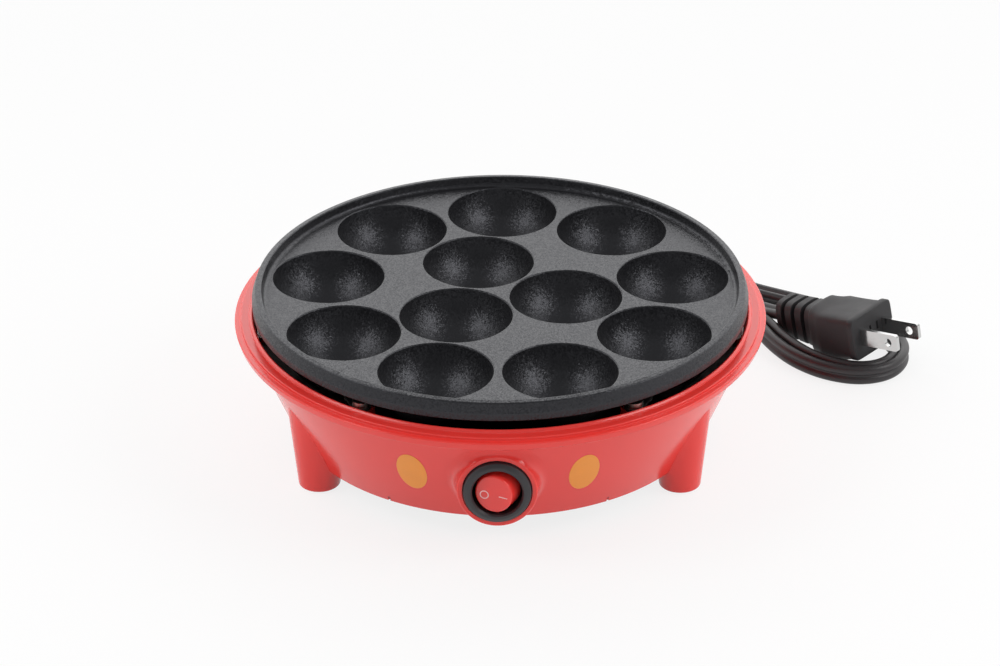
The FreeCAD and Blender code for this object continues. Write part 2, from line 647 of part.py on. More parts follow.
def body_shell():
    outside = [switch_boss(), entry_boss(ENTRY_BOSS_RADIUS, entry_face - 12, entry_face)]
    for place in leg_places():
        leg = leg_solid()
        leg.translate(place)
        outside.append(leg)
    room = cavity()
    solids = [shell_wall()] + [shape.cut(room) for shape in outside]
    solids += [bracket_post(a + side * BRACKET_SHIFT)
               for a, side in zip(BRACKET_AZIMUTHS, BRACKET_POST_SIDE)]
    solids += [cover_boss(a) for a in COVER_SCREW_AZIMUTHS]
    shell = solids[0].fuse(solids[1:])
    shell = shell.makeFillet(BOSS_FILLET, boss_crease(shell))
    cuts = [switch_boss_hollow(),
            entry_boss(BUSHING_BARREL_RADIUS + BUSHING_CLEARANCE, entry_face - 14, entry_face + 1)]
    for place in leg_places():
        hollow = leg_hollow()
        hollow.translate(place)
        cuts.append(hollow)
        cuts.append(post(PAD_RADIUS + PAD_CLEARANCE, 0, PAD_THICKNESS, place))
    for place in bracket_posts():
        cuts.append(screw_hole(bracket_bottom - SCREW_BITE - 0.4, bracket_bottom, place))
    for azimuth in COVER_SCREW_AZIMUTHS:
        cuts.append(screw_hole(cover_top, cover_top + SCREW_BITE * 2, polar(cover_boss_ring, azimuth)))
    for place in shield_screw_places():
        cuts.append(screw_hole(ledge_top - LEDGE_THICKNESS, ledge_top, place))
    slit_floor = math.sqrt(BODY_BOTTOM_RADIUS ** 2 - SLIT_SPREAD ** 2) - SLIT_DEPTH
    for i in range(LEG_COUNT * 2):
        side = SLIT_SPREAD * (1 if i % 2 else -1)
        slit = box(slit_floor, BODY_BOTTOM_RADIUS, side - SLIT_WIDTH / 2,
                   side + SLIT_WIDTH / 2, BODY_BOTTOM_HEIGHT - 1, BODY_BOTTOM_HEIGHT + SLIT_HEIGHT)
        cuts.append(turned(slit, LEG_TURN + (i // 2 + 0.5) * 360 / LEG_COUNT))
    return shell.cut(cuts).removeSplitter()


def foot_pads():
    return [post(PAD_RADIUS, 0, PAD_THICKNESS, place) for place in leg_places()]


# ---- base cover -------------------------------------------------------------
def clamp_seat_height():
    return entry_height - CORE_THICKNESS / 2


def clamp_screw_places():
    return [turned(Part.Vertex(clamp_ring, side * CLAMP_SCREW_SPREAD, 0), ENTRY_AZIMUTH).Point
            for side in (-1, 1)]


def base_cover():
    """The disc that closes the body, with the block that the cord clamp is screwed to."""
    disc = post(cover_radius, cover_bottom, cover_top)
    block = box(clamp_ring - CLAMP_LENGTH / 2, clamp_ring + CLAMP_LENGTH / 2, -CLAMP_SPAN / 2,
                CLAMP_SPAN / 2, cover_top - COVER_THICKNESS / 2, clamp_seat_height())
    cover = disc.fuse(turned(block, ENTRY_AZIMUTH))
    cuts = [screw_hole(cover_bottom, cover_top, polar(cover_boss_ring, a))
            for a in COVER_SCREW_AZIMUTHS]
    cuts += [screw_hole(clamp_seat_height() - SCREW_BITE * 2, clamp_seat_height(), p)
             for p in clamp_screw_places()]
    for i in range(VENT_COUNT):
        half = VENT_LENGTH / 2
        vent = slab([(VENT_RING_RADIUS - half, -VENT_WIDTH / 2, VENT_WIDTH * 0.45),
                     (VENT_RING_RADIUS + half, -VENT_WIDTH / 2, VENT_WIDTH * 0.45),
                     (VENT_RING_RADIUS + half, VENT_WIDTH / 2, VENT_WIDTH * 0.45),
                     (VENT_RING_RADIUS - half, VENT_WIDTH / 2, VENT_WIDTH * 0.45)],
                    cover_bottom, cover_top)
        cuts.append(turned(vent, (i + 0.5) * 360 / VENT_COUNT))
    return cover.cut(cuts).removeSplitter()


def base_screws():
    return [screw(cover_bottom, cover_top + SCREW_BITE, polar(cover_boss_ring, a), False)
            for a in COVER_SCREW_AZIMUTHS]


# ---- brackets, heat shield, clamp spider ------------------------------------
def plate_brackets():
    """Flat steel links from the plate's studs to the posts on the body's ledge."""
    links = []
    for azimuth, post_place in zip(BRACKET_AZIMUTHS, bracket_posts()):
        stud = polar(stud_ring, azimuth)
        discs = [post(BRACKET_WIDTH / 2, bracket_bottom, bracket_top, stud),
                 post(BRACKET_END_WIDTH / 2, bracket_bottom, bracket_top, post_place)]
        way = (post_place - stud).normalize()
        side = Vec(-way.y, way.x, 0)
        corners = [stud + side * BRACKET_WIDTH / 2, post_place + side * BRACKET_END_WIDTH / 2,
                   post_place - side * BRACKET_END_WIDTH / 2, stud - side * BRACKET_WIDTH / 2]
        discs.append(slab([(c.x, c.y) for c in corners], bracket_bottom, bracket_top))
        link = fused(discs)
        holes = [screw_hole(bracket_bottom, bracket_top, p) for p in (stud, post_place)]
        links.append(link.cut(holes))
    return links


def stud_screws():
    return [screw(bracket_bottom, bracket_top + SCREW_BITE, polar(stud_ring, a), False)
            for a in BRACKET_AZIMUTHS]


def post_screws():
    return [screw(bracket_top, bracket_bottom - SCREW_BITE, p, True) for p in bracket_posts()]


def shield_edge():
    """Outer radius of the heat shield's flange."""
    return wall_top_radius - SHELL_WALL - 0.8 - SHIELD_EDGE_GAP


def shield_screw_places():
    ring = shield_edge() + SHIELD_EDGE_GAP - SCREW_HEAD_RADIUS - SHIELD_SCREW_GAP
    return [polar(ring, a) for a in SHIELD_SCREW_AZIMUTHS]


def heat_shield():
    """A pressed steel dish under the cups; its flange lies on the body's ledge."""
    t = SHIELD_THICKNESS
    clear = bowl_radius + SHIELD_CUP_GAP
    rise = ball_height - ledge_top - t
    run = math.sqrt(clear ** 2 - rise ** 2)
    top_in = outer_ring + run
    floor_in = top_in - (ledge_top + t - shield_floor_top) * rise / run
    dish = revolved([
        (0, shield_floor_top), (floor_in, shield_floor_top, 2.0), (top_in, ledge_top + t, 0.4),
        (shield_edge(), ledge_top + t), (shield_edge(), ledge_top),
        (top_in + 0.3, ledge_top, 0.4), (floor_in + 0.3, shield_floor_bottom, 2.0),
        (0, shield_floor_bottom)])
    cuts = [post(THERMOSTAT_BODY_RADIUS + SHIELD_HOLE_GAP, shield_floor_bottom - 1, shield_floor_top + 1)]
    for place in pin_places():
        cuts.append(post(SHEATH_RADIUS + SHIELD_HOLE_GAP, shield_floor_bottom - 1,
                         shield_floor_top + 1, place))
    for azimuth, side in zip(BRACKET_AZIMUTHS, BRACKET_POST_SIDE):
        notch = box(post_ring - POST_REACH - SHIELD_EDGE_GAP, flange_radius,
                    -POST_WIDTH / 2 - SHIELD_EDGE_GAP, POST_WIDTH / 2 + SHIELD_EDGE_GAP,
                    ledge_top - 1, ledge_top + t + 1)
        cuts.append(turned(notch, azimuth + side * BRACKET_SHIFT))
    cuts += [screw_hole(ledge_top, ledge_top + t, p) for p in shield_screw_places()]
    cuts.append(screw_hole(shield_floor_bottom, shield_floor_top, fuse_clip_screw_place()))
    return dish.cut(cuts)


def shield_screws():
    seat = ledge_top + SHIELD_THICKNESS
    return [screw(seat, ledge_top - LEDGE_THICKNESS, p, True) for p in shield_screw_places()]


def clamp_spider():
    """A three-armed pressing that holds the ring heater and the thermostat up to the plate."""
    hub = post(THERMOSTAT_CAP_RADIUS + 4, spider_bottom, spider_top)
    arms = [turned(slab([(0, -SPIDER_ARM_WIDTH / 2),
                         (sheath_ring + SHEATH_RADIUS + SPIDER_ARM_OVERHANG, -SPIDER_ARM_WIDTH / 2, 2),
                         (sheath_ring + SHEATH_RADIUS + SPIDER_ARM_OVERHANG, SPIDER_ARM_WIDTH / 2, 2),
                         (0, SPIDER_ARM_WIDTH / 2)], spider_bottom, spider_top),
                   SPIDER_FIRST_ARM + i * 120) for i in range(3)]
    spider = fused([hub] + arms)
    holes = [post(THERMOSTAT_BODY_RADIUS + PAD_CLEARANCE, spider_bottom, spider_top)]
    holes += [screw_hole(spider_bottom, spider_top, p) for p in spider_bosses()]
    return spider.cut(holes)


def spider_screws():
    return [screw(spider_bottom, spider_top + SCREW_BITE, p, False) for p in spider_bosses()]


# ---- heater, thermostat, fuse -----------------------------------------------
def sheath_ends():
    """Where the ring stops at each side of its opening, with the way each end goes on."""
    half = SHEATH_OPENING / 2
    first, last = SHEATH_TURN + half, SHEATH_TURN + 360 - half
    return (polar(sheath_ring, first, sheath_height), polar(1, first - 90),
            polar(sheath_ring, last, sheath_height), polar(1, last + 90))


def pin_places():
    start, back, stop, on = sheath_ends()
    return [start + back * SHEATH_BEND, stop + on * SHEATH_BEND]


def heating_element():
    """The steel-sheathed ring, both ends turned down through the heat shield."""
    start, back, stop, on = sheath_ends()
    down = Vec(0, 0, -1)
    drop = Vec(0, 0, -SHEATH_BEND)

    def turn_down(place, way):
        centre = place + drop
        middle = centre + (way - down).normalize() * SHEATH_BEND
        end = centre + way * SHEATH_BEND
        return Part.Arc(place, middle, end).toShape(), end

    bend_a, end_a = turn_down(start, back)
    bend_b, end_b = turn_down(stop, on)
    far = polar(sheath_ring, SHEATH_TURN + 180, sheath_height)
    foot_a = Vec(end_a.x, end_a.y, sheath_end)
    foot_b = Vec(end_b.x, end_b.y, sheath_end)
    path = Part.Wire([Part.LineSegment(foot_a, end_a).toShape(), bend_a,
                      Part.Arc(start, far, stop).toShape(), bend_b,
                      Part.LineSegment(end_b, foot_b).toShape()])
    ring = Part.Wire([Part.Circle(foot_a, UP, SHEATH_RADIUS).toShape()])
    return path.makePipeShell([ring], True, False)


def element_seals():
    return [post(SEAL_RADIUS, seal_end, sheath_end, p).cut(
        post(PIN_RADIUS + PIN_CLEARANCE, seal_end, sheath_end, p)) for p in pin_places()]


def element_pins():
    return [post(PIN_RADIUS, pin_end, sheath_end, p) for p in pin_places()]


def element_lugs():
    lugs = []
    for p in pin_places():
        half = LUG_SIZE / 2
        lug = box(p.x - half, p.x + half, p.y - half, p.y + half, lug_bottom, lug_top)
        lugs.append(lug.cut(post(PIN_RADIUS + PIN_CLEARANCE, pin_end, lug_top, p)))
    return lugs


def thermostat():
    cap = post(THERMOSTAT_CAP_RADIUS, spider_top, spider_top + THERMOSTAT_CAP_HEIGHT)
    body = post(THERMOSTAT_BODY_RADIUS, spider_top - THERMOSTAT_BODY_LENGTH, spider_top + 1)
    return fused([cap, body])


def thermostat_tabs():
    top = spider_top - THERMOSTAT_BODY_LENGTH
    tabs = []
    for side in (-1, 1):
        x = side * THERMOSTAT_TAB_SPREAD
        tabs.append(box(x - TAB_THICKNESS / 2, x + TAB_THICKNESS / 2, -3.1, 3.1, top - 6, top))
    return tabs


def fuse_axis():
    """The middle of the thermal fuse, which lies along Y beside the sheath's ends."""
    pin = pin_places()[0]
    return Vec(pin.x + FUSE_REACH[0], pin.y + FUSE_REACH[1], shield_floor_bottom - SLEEVE_DROP)


def bar_along_y(radius, place, length):
    return Part.makeCylinder(radius, length, place - Vec(0, length / 2, 0), Vec(0, 1, 0))


def thermal_fuse():
    middle = fuse_axis()
    leads = bar_along_y(WIRE_RADIUS / 2, middle, SLEEVE_LENGTH)
    return fused([bar_along_y(FUSE_RADIUS, middle, FUSE_LENGTH), leads])


def fuse_sleeve():
    middle = fuse_axis()
    sleeve = bar_along_y(FUSE_RADIUS + SLEEVE_WALL, middle, SLEEVE_LENGTH)
    return sleeve.cut(bar_along_y(FUSE_RADIUS + SCREW_CLEARANCE, middle, SLEEVE_LENGTH))


def fuse_clip_screw_place():
    middle = fuse_axis()
    return Vec(middle.x + 9.0, middle.y, 0)


def fuse_clip():
    """A steel strap that hangs the fuse's sleeve from the heat shield."""
    middle = fuse_axis()
    around = FUSE_RADIUS + SLEEVE_WALL + SCREW_CLEARANCE
    loop = bar_along_y(around + 0.8, middle, 6).cut(bar_along_y(around, middle, 6))
    stem = box(middle.x - 0.4, middle.x + 0.4, middle.y - 3, middle.y + 3,
               middle.z + around + 0.4, shield_floor_bottom - 0.4)
    tab = box(middle.x - 0.4, middle.x + 12.5, middle.y - 3, middle.y + 3,
              shield_floor_bottom - 0.8, shield_floor_bottom)
    hole = screw_hole(shield_floor_bottom - 0.8, shield_floor_bottom, fuse_clip_screw_place())
    return fused([loop, stem, tab]).cut(hole)


def fuse_clip_screw():
    head = post(2.4, shield_floor_bottom - 2.4, shield_floor_bottom - 0.8, fuse_clip_screw_place())
    shank = post(SCREW_RADIUS, shield_floor_bottom - 1.2, shield_floor_top, fuse_clip_screw_place())
    return fused([head, shank])


# ---- switch -----------------------------------------------------------------
def switch_housing():
    """The black bezel and barrel in one, hollow for the rocker, with trunnion holes."""
    face, back = -bezel_face, -barrel_back
    under_bezel = face + BEZEL_THICKNESS
    inner = BARREL_RADIUS - BARREL_WALL
    outer = along_y([(0, face), (WINDOW_RADIUS + 1.4, face, 2.0),
                     (BEZEL_RADIUS - 0.4, face + BEZEL_CROWN, 0.5), (BEZEL_RADIUS, under_bezel),
                     (BARREL_RADIUS, under_bezel), (BARREL_RADIUS, back), (0, back)], switch_height)
    hollow = along_y([(0, face), (WINDOW_RADIUS + 0.5, face, 0), (WINDOW_RADIUS, face + 0.7),
                      (WINDOW_RADIUS, under_bezel - 0.9), (inner, under_bezel - 0.9 + 0.6),
                      (inner, back - BARREL_FLOOR), (0, back - BARREL_FLOOR)], switch_height)
    trunnions = post(TRUNNION_RADIUS + TRUNNION_CLEARANCE, switch_height - BARREL_RADIUS - 0.1,
                     switch_height + BARREL_RADIUS + 0.1, Vec(0, pivot_y, 0))
    slots = [box(x - TAB_THICKNESS / 2 - 0.05, x + TAB_THICKNESS / 2 + 0.05,
                 back - BARREL_FLOOR, back, switch_height - TAB_HEIGHT / 2 - 0.05,
                 switch_height + TAB_HEIGHT / 2 + 0.05) for x in tab_rows()]
    return outer.cut([hollow, trunnions] + slots)


def tab_rows():
    return [-TAB_PITCH, 0.0, TAB_PITCH]


def switch_rocker():
    """The round rocker in its OFF place: the O side is pressed in, the I side stands out."""
    forward = Vec(0, -1, 0)
    wide, tall = ROCKER_FACE_HALF
    middle = forward * (PIVOT_DEPTH + ROCKER_PROUD)
    oval = Part.Ellipse(middle + UP * tall, middle + Vec(wide, 0, 0), middle).toShape()
    ring = Part.Circle(forward * -ROCKER_BACK_DEPTH, forward, ROCKER_BACK_RADIUS).toShape()
    cap = Part.makeLoft([Part.Wire([oval]), Part.Wire([ring])], True)
    rim = [edge for edge in cap.Edges if abs(edge.BoundBox.YMax - middle.y) < 1e-4]
    cap = cap.makeFillet(ROCKER_FACE_ROUND, rim)
    half = BARREL_RADIUS - 0.3
    trunnions = post(TRUNNION_RADIUS, -half, half)
    stem = Part.makeCylinder(STEM_RADIUS, STEM_LENGTH + ROCKER_BACK_DEPTH, Vec(0, 0, 0), Vec(0, 1, 0))
    rocker = fused([cap, trunnions, stem])
    rocker.rotate(Vec(0, 0, 0), UP, -ROCKER_TILT)
    rocker.translate(Vec(0, pivot_y, switch_height))
    return rocker


def switch_lamp():
    stop = -barrel_back - BARREL_FLOOR
    return Part.makeCylinder(LAMP_RADIUS, LAMP_LENGTH, Vec(0, stop - LAMP_LENGTH, switch_height - LAMP_DROP),
                             Vec(0, 1, 0))


def switch_tabs():
    start = -barrel_back - BARREL_FLOOR
    return [box(x - TAB_THICKNESS / 2, x + TAB_THICKNESS / 2, start, start + BARREL_FLOOR + TAB_LENGTH,
                switch_height - TAB_HEIGHT / 2, switch_height + TAB_HEIGHT / 2) for x in tab_rows()]


# ---- cord entry and wiring --------------------------------------------------
def flat_cord(start, stop, extra):
    """The flat twin cord lying level, from one radius to another at the entry."""
    half, flat = CORE_THICKNESS / 2 + extra, core_spread
    cores = [Part.makeCylinder(half, stop - start, Vec(start, side * flat, 0), Vec(1, 0, 0))
             for side in (-1, 1)]
    web = box(start, stop, -flat, flat, -half * 0.8, half * 0.8)
    return entry_frame(fused(cores + [web]))


def cord_bushing():
    face = entry_face
    outline = revolved([(0, face - 9), (BUSHING_BARREL_RADIUS, face - 9, 0.6),
                        (BUSHING_BARREL_RADIUS, face), (BUSHING_FLANGE_RADIUS, face),
                        (BUSHING_FLANGE_RADIUS, face + BUSHING_FLANGE, 0.6),
                        (BUSHING_NECK_RADIUS, face + BUSHING_FLANGE, 0.8),
                        (BUSHING_TIP_RADIUS, face + BUSHING_LENGTH), (0, face + BUSHING_LENGTH)])
    outline.rotate(Vec(0, 0, 0), Vec(0, 1, 0), 90)
    body = entry_frame(outline)
    return body.cut(flat_cord(face - 10, face + BUSHING_LENGTH + 1, PIN_CLEARANCE))


def cord_inside():
    """The cord from the bushing's tip back to where its cores part."""
    return flat_cord(cord_end_ring, entry_face + BUSHING_LENGTH, 0)


def cord_clamp():
    low = clamp_seat_height()
    bridge = box(clamp_ring - CLAMP_LENGTH / 2, clamp_ring + CLAMP_LENGTH / 2, -CLAMP_SPAN / 2,
                 CLAMP_SPAN / 2, low, entry_height + CORE_THICKNESS / 2 + CLAMP_THICKNESS)
    bridge = turned(bridge, ENTRY_AZIMUTH)
    channel = flat_cord(clamp_ring - CLAMP_LENGTH, clamp_ring + CLAMP_LENGTH, PIN_CLEARANCE)
    under = turned(box(clamp_ring - CLAMP_LENGTH, clamp_ring + CLAMP_LENGTH, -CORD_WIDTH / 2 - PIN_CLEARANCE,
                       CORD_WIDTH / 2 + PIN_CLEARANCE, low - 1, entry_height), ENTRY_AZIMUTH)
    top = entry_height + CORE_THICKNESS / 2 + CLAMP_THICKNESS
    holes = [screw_hole(low, top, p) for p in clamp_screw_places()]
    return bridge.cut([channel, under] + holes)


def clamp_screws():
    top = entry_height + CORE_THICKNESS / 2 + CLAMP_THICKNESS
    return [screw(top, clamp_seat_height() - SCREW_BITE, p, True) for p in clamp_screw_places()]


def splice_mouth():
    return polar(cover_radius - SPLICE_INSET, SPLICE_AZIMUTH, cover_top + SPLICE_RISE)


def splice_cap():
    return Part.makeCylinder(SPLICE_RADIUS, SPLICE_LENGTH, splice_mouth(), Vec(0, 1, 0))


def core_end(side):
    place = turned(Part.Vertex(cord_end_ring, side * core_spread, 0), ENTRY_AZIMUTH).Point
    return Vec(place.x, place.y, entry_height)


def way(points):
    low = cover_top + WIRE_RISE
    return [Vec(x, y, low + rise) for x, y, rise in points]


def wire_routes():
    """Each inner wire from one terminal to another, as points on its way."""
    inward = polar(-8.0, ENTRY_AZIMUTH)
    live, neutral = core_end(1), core_end(-1)
    back = Vec(0, -WIRE_STRAIGHT, 0)
    tab_end = -barrel_back + TAB_LENGTH
    tabs = [Vec(x, tab_end, switch_height) for x in tab_rows()]
    mouth = splice_mouth()
    side, under = Vec(SPLICE_SPREAD, 0, 0), Vec(0, 0, -SPLICE_SPREAD)
    fuse_in = fuse_axis() + Vec(0, SLEEVE_LENGTH / 2, 0)
    fuse_out = fuse_axis() - Vec(0, SLEEVE_LENGTH / 2, 0)
    lug_z = (lug_bottom + lug_top) / 2
    pin_a, pin_b = [Vec(p.x, p.y, lug_z) for p in pin_places()]
    lug_a = pin_a - Vec(0, LUG_SIZE / 2, 0)
    lug_b = pin_b - Vec(LUG_SIZE / 2, 0, 0)
    heat = Vec(THERMOSTAT_TAB_SPREAD + TAB_THICKNESS / 2, 0, spider_top - THERMOSTAT_BODY_LENGTH - 3.5)
    cold = Vec(-heat.x, 0, heat.z)
    across = Vec(WIRE_STRAIGHT + 1.0, 0, 0)
    return {
        "wire_live": [live, live + inward] + way(LIVE_WAY) + [tabs[1] - back, tabs[1]],
        "wire_neutral": [neutral, neutral + inward] + way(NEUTRAL_WAY)
        + [mouth - side + back * 3.5 - side * 3.5, mouth - side + back, mouth - side],
        "wire_fuse": [mouth + side, mouth + side + back, mouth + side + back * 1.7 - under * 2.6,
                      fuse_in - back * 0.8, fuse_in],
        "wire_heater": [fuse_out, fuse_out + back * 0.8,
                        Vec(fuse_out.x - 4.0, fuse_out.y - 9.0, lug_z + 1.0),
                        lug_a + back * 1.4 + Vec(1.5, 0, 0), lug_a + back * 0.8, lug_a],
        "wire_thermostat": [lug_b, lug_b - across] + way(THERMOSTAT_WAY) + [heat + across, heat],
        "wire_switched": [cold, cold - across] + way(SWITCHED_WAY) + [tabs[0] - back, tabs[0]],
        "wire_lamp": [mouth + under, mouth + under + back] + way(LAMP_WAY)
        + [tabs[2] - back, tabs[2]],
    }


# ---- free cord, hank, plug --------------------------------------------------
def shifted(points, distance):
    """A closed run of level points moved to the right of its way by a distance."""
    moved = []
    n = len(points)
    for i, p in enumerate(points):
        a, b = Vec(*points[i - 1], 0), Vec(*points[(i + 1) % n], 0)
        p = Vec(*p, 0)
        d1, d2 = (p - a).normalize(), (b - p).normalize()
        mean = (d1 + d2).normalize()
        side = Vec(mean.y, -mean.x, 0) * (distance / math.cos(d1.getAngle(d2) / 2))
        moved.append(p + side)
    return moved


def loop_face(points):
    n = len(points)
    radii = []
    for i, p in enumerate(points):
        before, after = points[i - 1], points[(i + 1) % n]
        turn = (p - before).getAngle(after - p)
        run = min(before.distanceToPoint(p), p.distanceToPoint(after))
        radii.append(CORD_BEND_SHARE * run / math.tan(turn / 2) if turn > 1e-4 else 0.0)
    return Part.Face(rounded_wire(points, radii, True))


def cord_hank():
    """The tied hank: two loops of cord on edge, open inside, drawn in at the tie."""
    outline = loop_face(shifted(RIGHT_LOOP + LEFT_LOOP, hank_half_width))
    holes = [loop_face(shifted(loop, -hank_half_width)[2:-2]) for loop in (RIGHT_LOOP, LEFT_LOOP)]
    hank = outline.cut(holes[0]).cut(holes[1]).extrude(Vec(0, 0, CORD_WIDTH))
    return hank.cut(cord_tie())


def tie_block(inset):
    """The room that the tie takes, or with an inset the bundle inside it."""
    half, width = TIE_SPAN / 2 - inset, TIE_WIDTH / 2
    low, high = inset, CORD_WIDTH + TIE_THICKNESS - inset
    block = box(-width, width, -half, half, low, high)
    block.rotate(Vec(0, 0, 0), UP, TIE_HEADING)
    block.translate(Vec(*TIE_PLACE, 0))
    return block


def cord_tie():
    return tie_block(0).cut(tie_block(TIE_THICKNESS))


def plug_frame(shape):
    """Moves a part drawn with the plug's face at the origin, blades along +X."""
    shape.rotate(Vec(0, 0, 0), Vec(0, 1, 0), -PLUG_PITCH)
    shape.rotate(Vec(0, 0, 0), UP, PLUG_HEADING)
    shape.translate(Vec(*PLUG_FACE))
    return shape


def plug_point(x, y, z):
    return plug_frame(Part.Vertex(x, y, z)).Point


def plug_body():
    """Nose, grip, notch and shoulder, then a tapered strain relief with slots."""
    half = PLUG_WIDTH / 2
    back = -PLUG_LENGTH
    side = [(0, half, 0.8), (-PLUG_NOSE_LENGTH, half, 0.9),
            (-PLUG_NOSE_LENGTH - 1.2, half - PLUG_GRIP, 0.9), (back + 5.2, half - PLUG_GRIP, 1.5),
            (back + 3.6, half - PLUG_WAIST, 0.7), (back + 2.2, half, 1.0), (back, half - 1.6, 1.0)]
    outline = side + [(x, -y, r) for x, y, r in reversed(side)]
    grip = slab(outline, -PLUG_HEIGHT / 2, PLUG_HEIGHT / 2)
    a, b = RELIEF_WIDTH / 2, RELIEF_END_WIDTH / 2
    end = back - RELIEF_LENGTH
    relief = slab([(back + 1, -a), (back + 1, a), (end, b, 1.2), (end, -b, 1.2)],
                  -RELIEF_HEIGHT / 2, RELIEF_HEIGHT / 2)
    body = grip.fuse(relief)
    cuts = []
    for i in range(RELIEF_SLOTS):
        x = back - 3 - i * RELIEF_SLOT_PITCH
        for side in (-1, 1):
            edge = a - RELIEF_SLOT_DEPTH
            low, high = sorted((side * edge, side * (a + 2)))
            cuts.append(box(x - RELIEF_SLOT_WIDTH / 2, x + RELIEF_SLOT_WIDTH / 2, low, high,
                            -RELIEF_HEIGHT, RELIEF_HEIGHT))
    for side in (-1, 1):
        y = side * BLADE_SPACING / 2
        cuts.append(box(-BLADE_ROOT, 1, y - BLADE_THICKNESS / 2, y + BLADE_THICKNESS / 2,
                        -BLADE_WIDTH / 2, BLADE_WIDTH / 2))
    return plug_frame(body.cut(cuts).removeSplitter())


def plug_blades():
    blades = []
    for side in (-1, 1):
        y = side * BLADE_SPACING / 2
        half = BLADE_WIDTH / 2
        blade = slab([(-BLADE_ROOT, -half), (BLADE_LENGTH, -half, 1.2), (BLADE_LENGTH, half, 1.2),
                      (-BLADE_ROOT, half)], -BLADE_THICKNESS / 2, BLADE_THICKNESS / 2)
        hole = post(BLADE_HOLE_RADIUS, -BLADE_THICKNESS, BLADE_THICKNESS,
                    Vec(BLADE_LENGTH - BLADE_HOLE_FROM_TIP, 0, 0))
        blade = blade.cut(hole)
        blade.rotate(Vec(0, 0, 0), Vec(1, 0, 0), 90)
        blade.translate(Vec(0, y, 0))
        blades.append(plug_frame(blade))
    return blades


def lead_points():
    start = entry_face + BUSHING_LENGTH
    straight = [polar(r, ENTRY_AZIMUTH, entry_height) for r in (start, start + LEAD_FIRST_RUN)]
    return straight + [Vec(*p) for p in LEAD_ROUTE]


def tail_points():
    start = -PLUG_LENGTH - RELIEF_LENGTH
    straight = [plug_point(x, 0, 0) for x in (start, start - TAIL_FIRST_RUN)]
    return straight + [Vec(*p) for p in TAIL_ROUTE]


def free_tube(name, points, others):
    """A free stretch of cord, ended where it meets the hank and what lies on it."""
    whole, length, radii = tube(points, CORD_WIDTH / 2)
    expected = math.pi * (CORD_WIDTH / 2) ** 2 * length
    print(name, "length", round(length, 1), "radii", [round(r, 1) for r in radii],
          "volume ratio", round(whole.Volume / expected, 4))
    parts = whole.cut(others).Solids
    return max(parts, key=lambda s: s.Volume)


# ---- all nodes --------------------------------------------------------------
def export(name, shape):
    solids = shape if isinstance(shape, list) else [shape]
    node = solids[0] if len(solids) == 1 else Part.makeCompound(solids)
    valid = all(s.isValid() and s.Volume > 0 for s in node.Solids)
    print(name, "solids", len(node.Solids), "volume", round(node.Volume, 1), "valid", valid)
    node.exportStep("parts/" + name + ".step")


def main():
    os.makedirs("parts", exist_ok=True)
    hank = cord_hank()
    lead = free_tube("cord_lead", lead_points(), [hank])
    wires = {name: tube(points, WIRE_RADIUS)[0] for name, points in wire_routes().items()}
    nodes = {
        "cooking_plate": cooking_plate(), "body_shell": body_shell(), "foot_pads": foot_pads(),
        "base_cover": base_cover(), "base_screws": base_screws(),
        "plate_brackets": plate_brackets(), "stud_screws": stud_screws(),
        "post_screws": post_screws(), "heat_shield": heat_shield(),
        "shield_screws": shield_screws(), "clamp_spider": clamp_spider(),
        "spider_screws": spider_screws(), "heating_element": heating_element(),
        "element_seals": element_seals(), "element_pins": element_pins(),
        "element_lugs": element_lugs(), "thermostat": thermostat(),
        "thermostat_tabs": thermostat_tabs(), "thermal_fuse": thermal_fuse(),
        "fuse_sleeve": fuse_sleeve(), "fuse_clip": fuse_clip(),
        "fuse_clip_screw": fuse_clip_screw(), "switch_housing": switch_housing(),
        "switch_rocker": switch_rocker(), "switch_lamp": switch_lamp(),
        "switch_tabs": switch_tabs(), "cord_bushing": cord_bushing(),
        "cord_inside": cord_inside(), "cord_clamp": cord_clamp(),
        "clamp_screws": clamp_screws(), "splice_cap": splice_cap(),
        "cord_hank": hank, "cord_tie": cord_tie(),
        "cord_lead": lead, "cord_tail": free_tube("cord_tail", tail_points(), [hank, lead]),
        "plug_body": plug_body(), "plug_blades": plug_blades(),
    }
    nodes.update(wires)
    for name, shape in nodes.items():
        export(name, shape)


main()
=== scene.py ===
"""Takoyaki maker: finishes, mains cord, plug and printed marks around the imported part."""

import math

import bpy
import numpy as np
from mathutils import Matrix


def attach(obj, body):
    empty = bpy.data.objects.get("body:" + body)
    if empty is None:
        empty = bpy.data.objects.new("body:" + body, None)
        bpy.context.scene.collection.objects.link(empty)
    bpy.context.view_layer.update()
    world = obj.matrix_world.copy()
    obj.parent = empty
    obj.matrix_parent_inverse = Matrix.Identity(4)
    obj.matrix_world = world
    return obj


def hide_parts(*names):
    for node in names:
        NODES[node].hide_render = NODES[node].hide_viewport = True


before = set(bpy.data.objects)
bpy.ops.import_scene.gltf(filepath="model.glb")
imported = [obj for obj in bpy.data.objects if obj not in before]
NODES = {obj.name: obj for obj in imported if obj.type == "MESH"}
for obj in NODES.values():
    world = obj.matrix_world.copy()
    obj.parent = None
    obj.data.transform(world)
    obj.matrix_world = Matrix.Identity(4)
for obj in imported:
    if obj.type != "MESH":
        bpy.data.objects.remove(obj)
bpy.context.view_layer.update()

bl_info = {
    "name": "Takoyaki maker",
    "version": (1, 0, 0),
    "blender": (4, 5, 0),
    "location": "View3D > Sidebar > Takoyaki",
    "description": "Dresses a twelve-cup takoyaki maker with its finishes, cord and plug",
    "category": "Object",
}

MM = 0.001
UP = np.array([0.0, 0.0, 1.0])

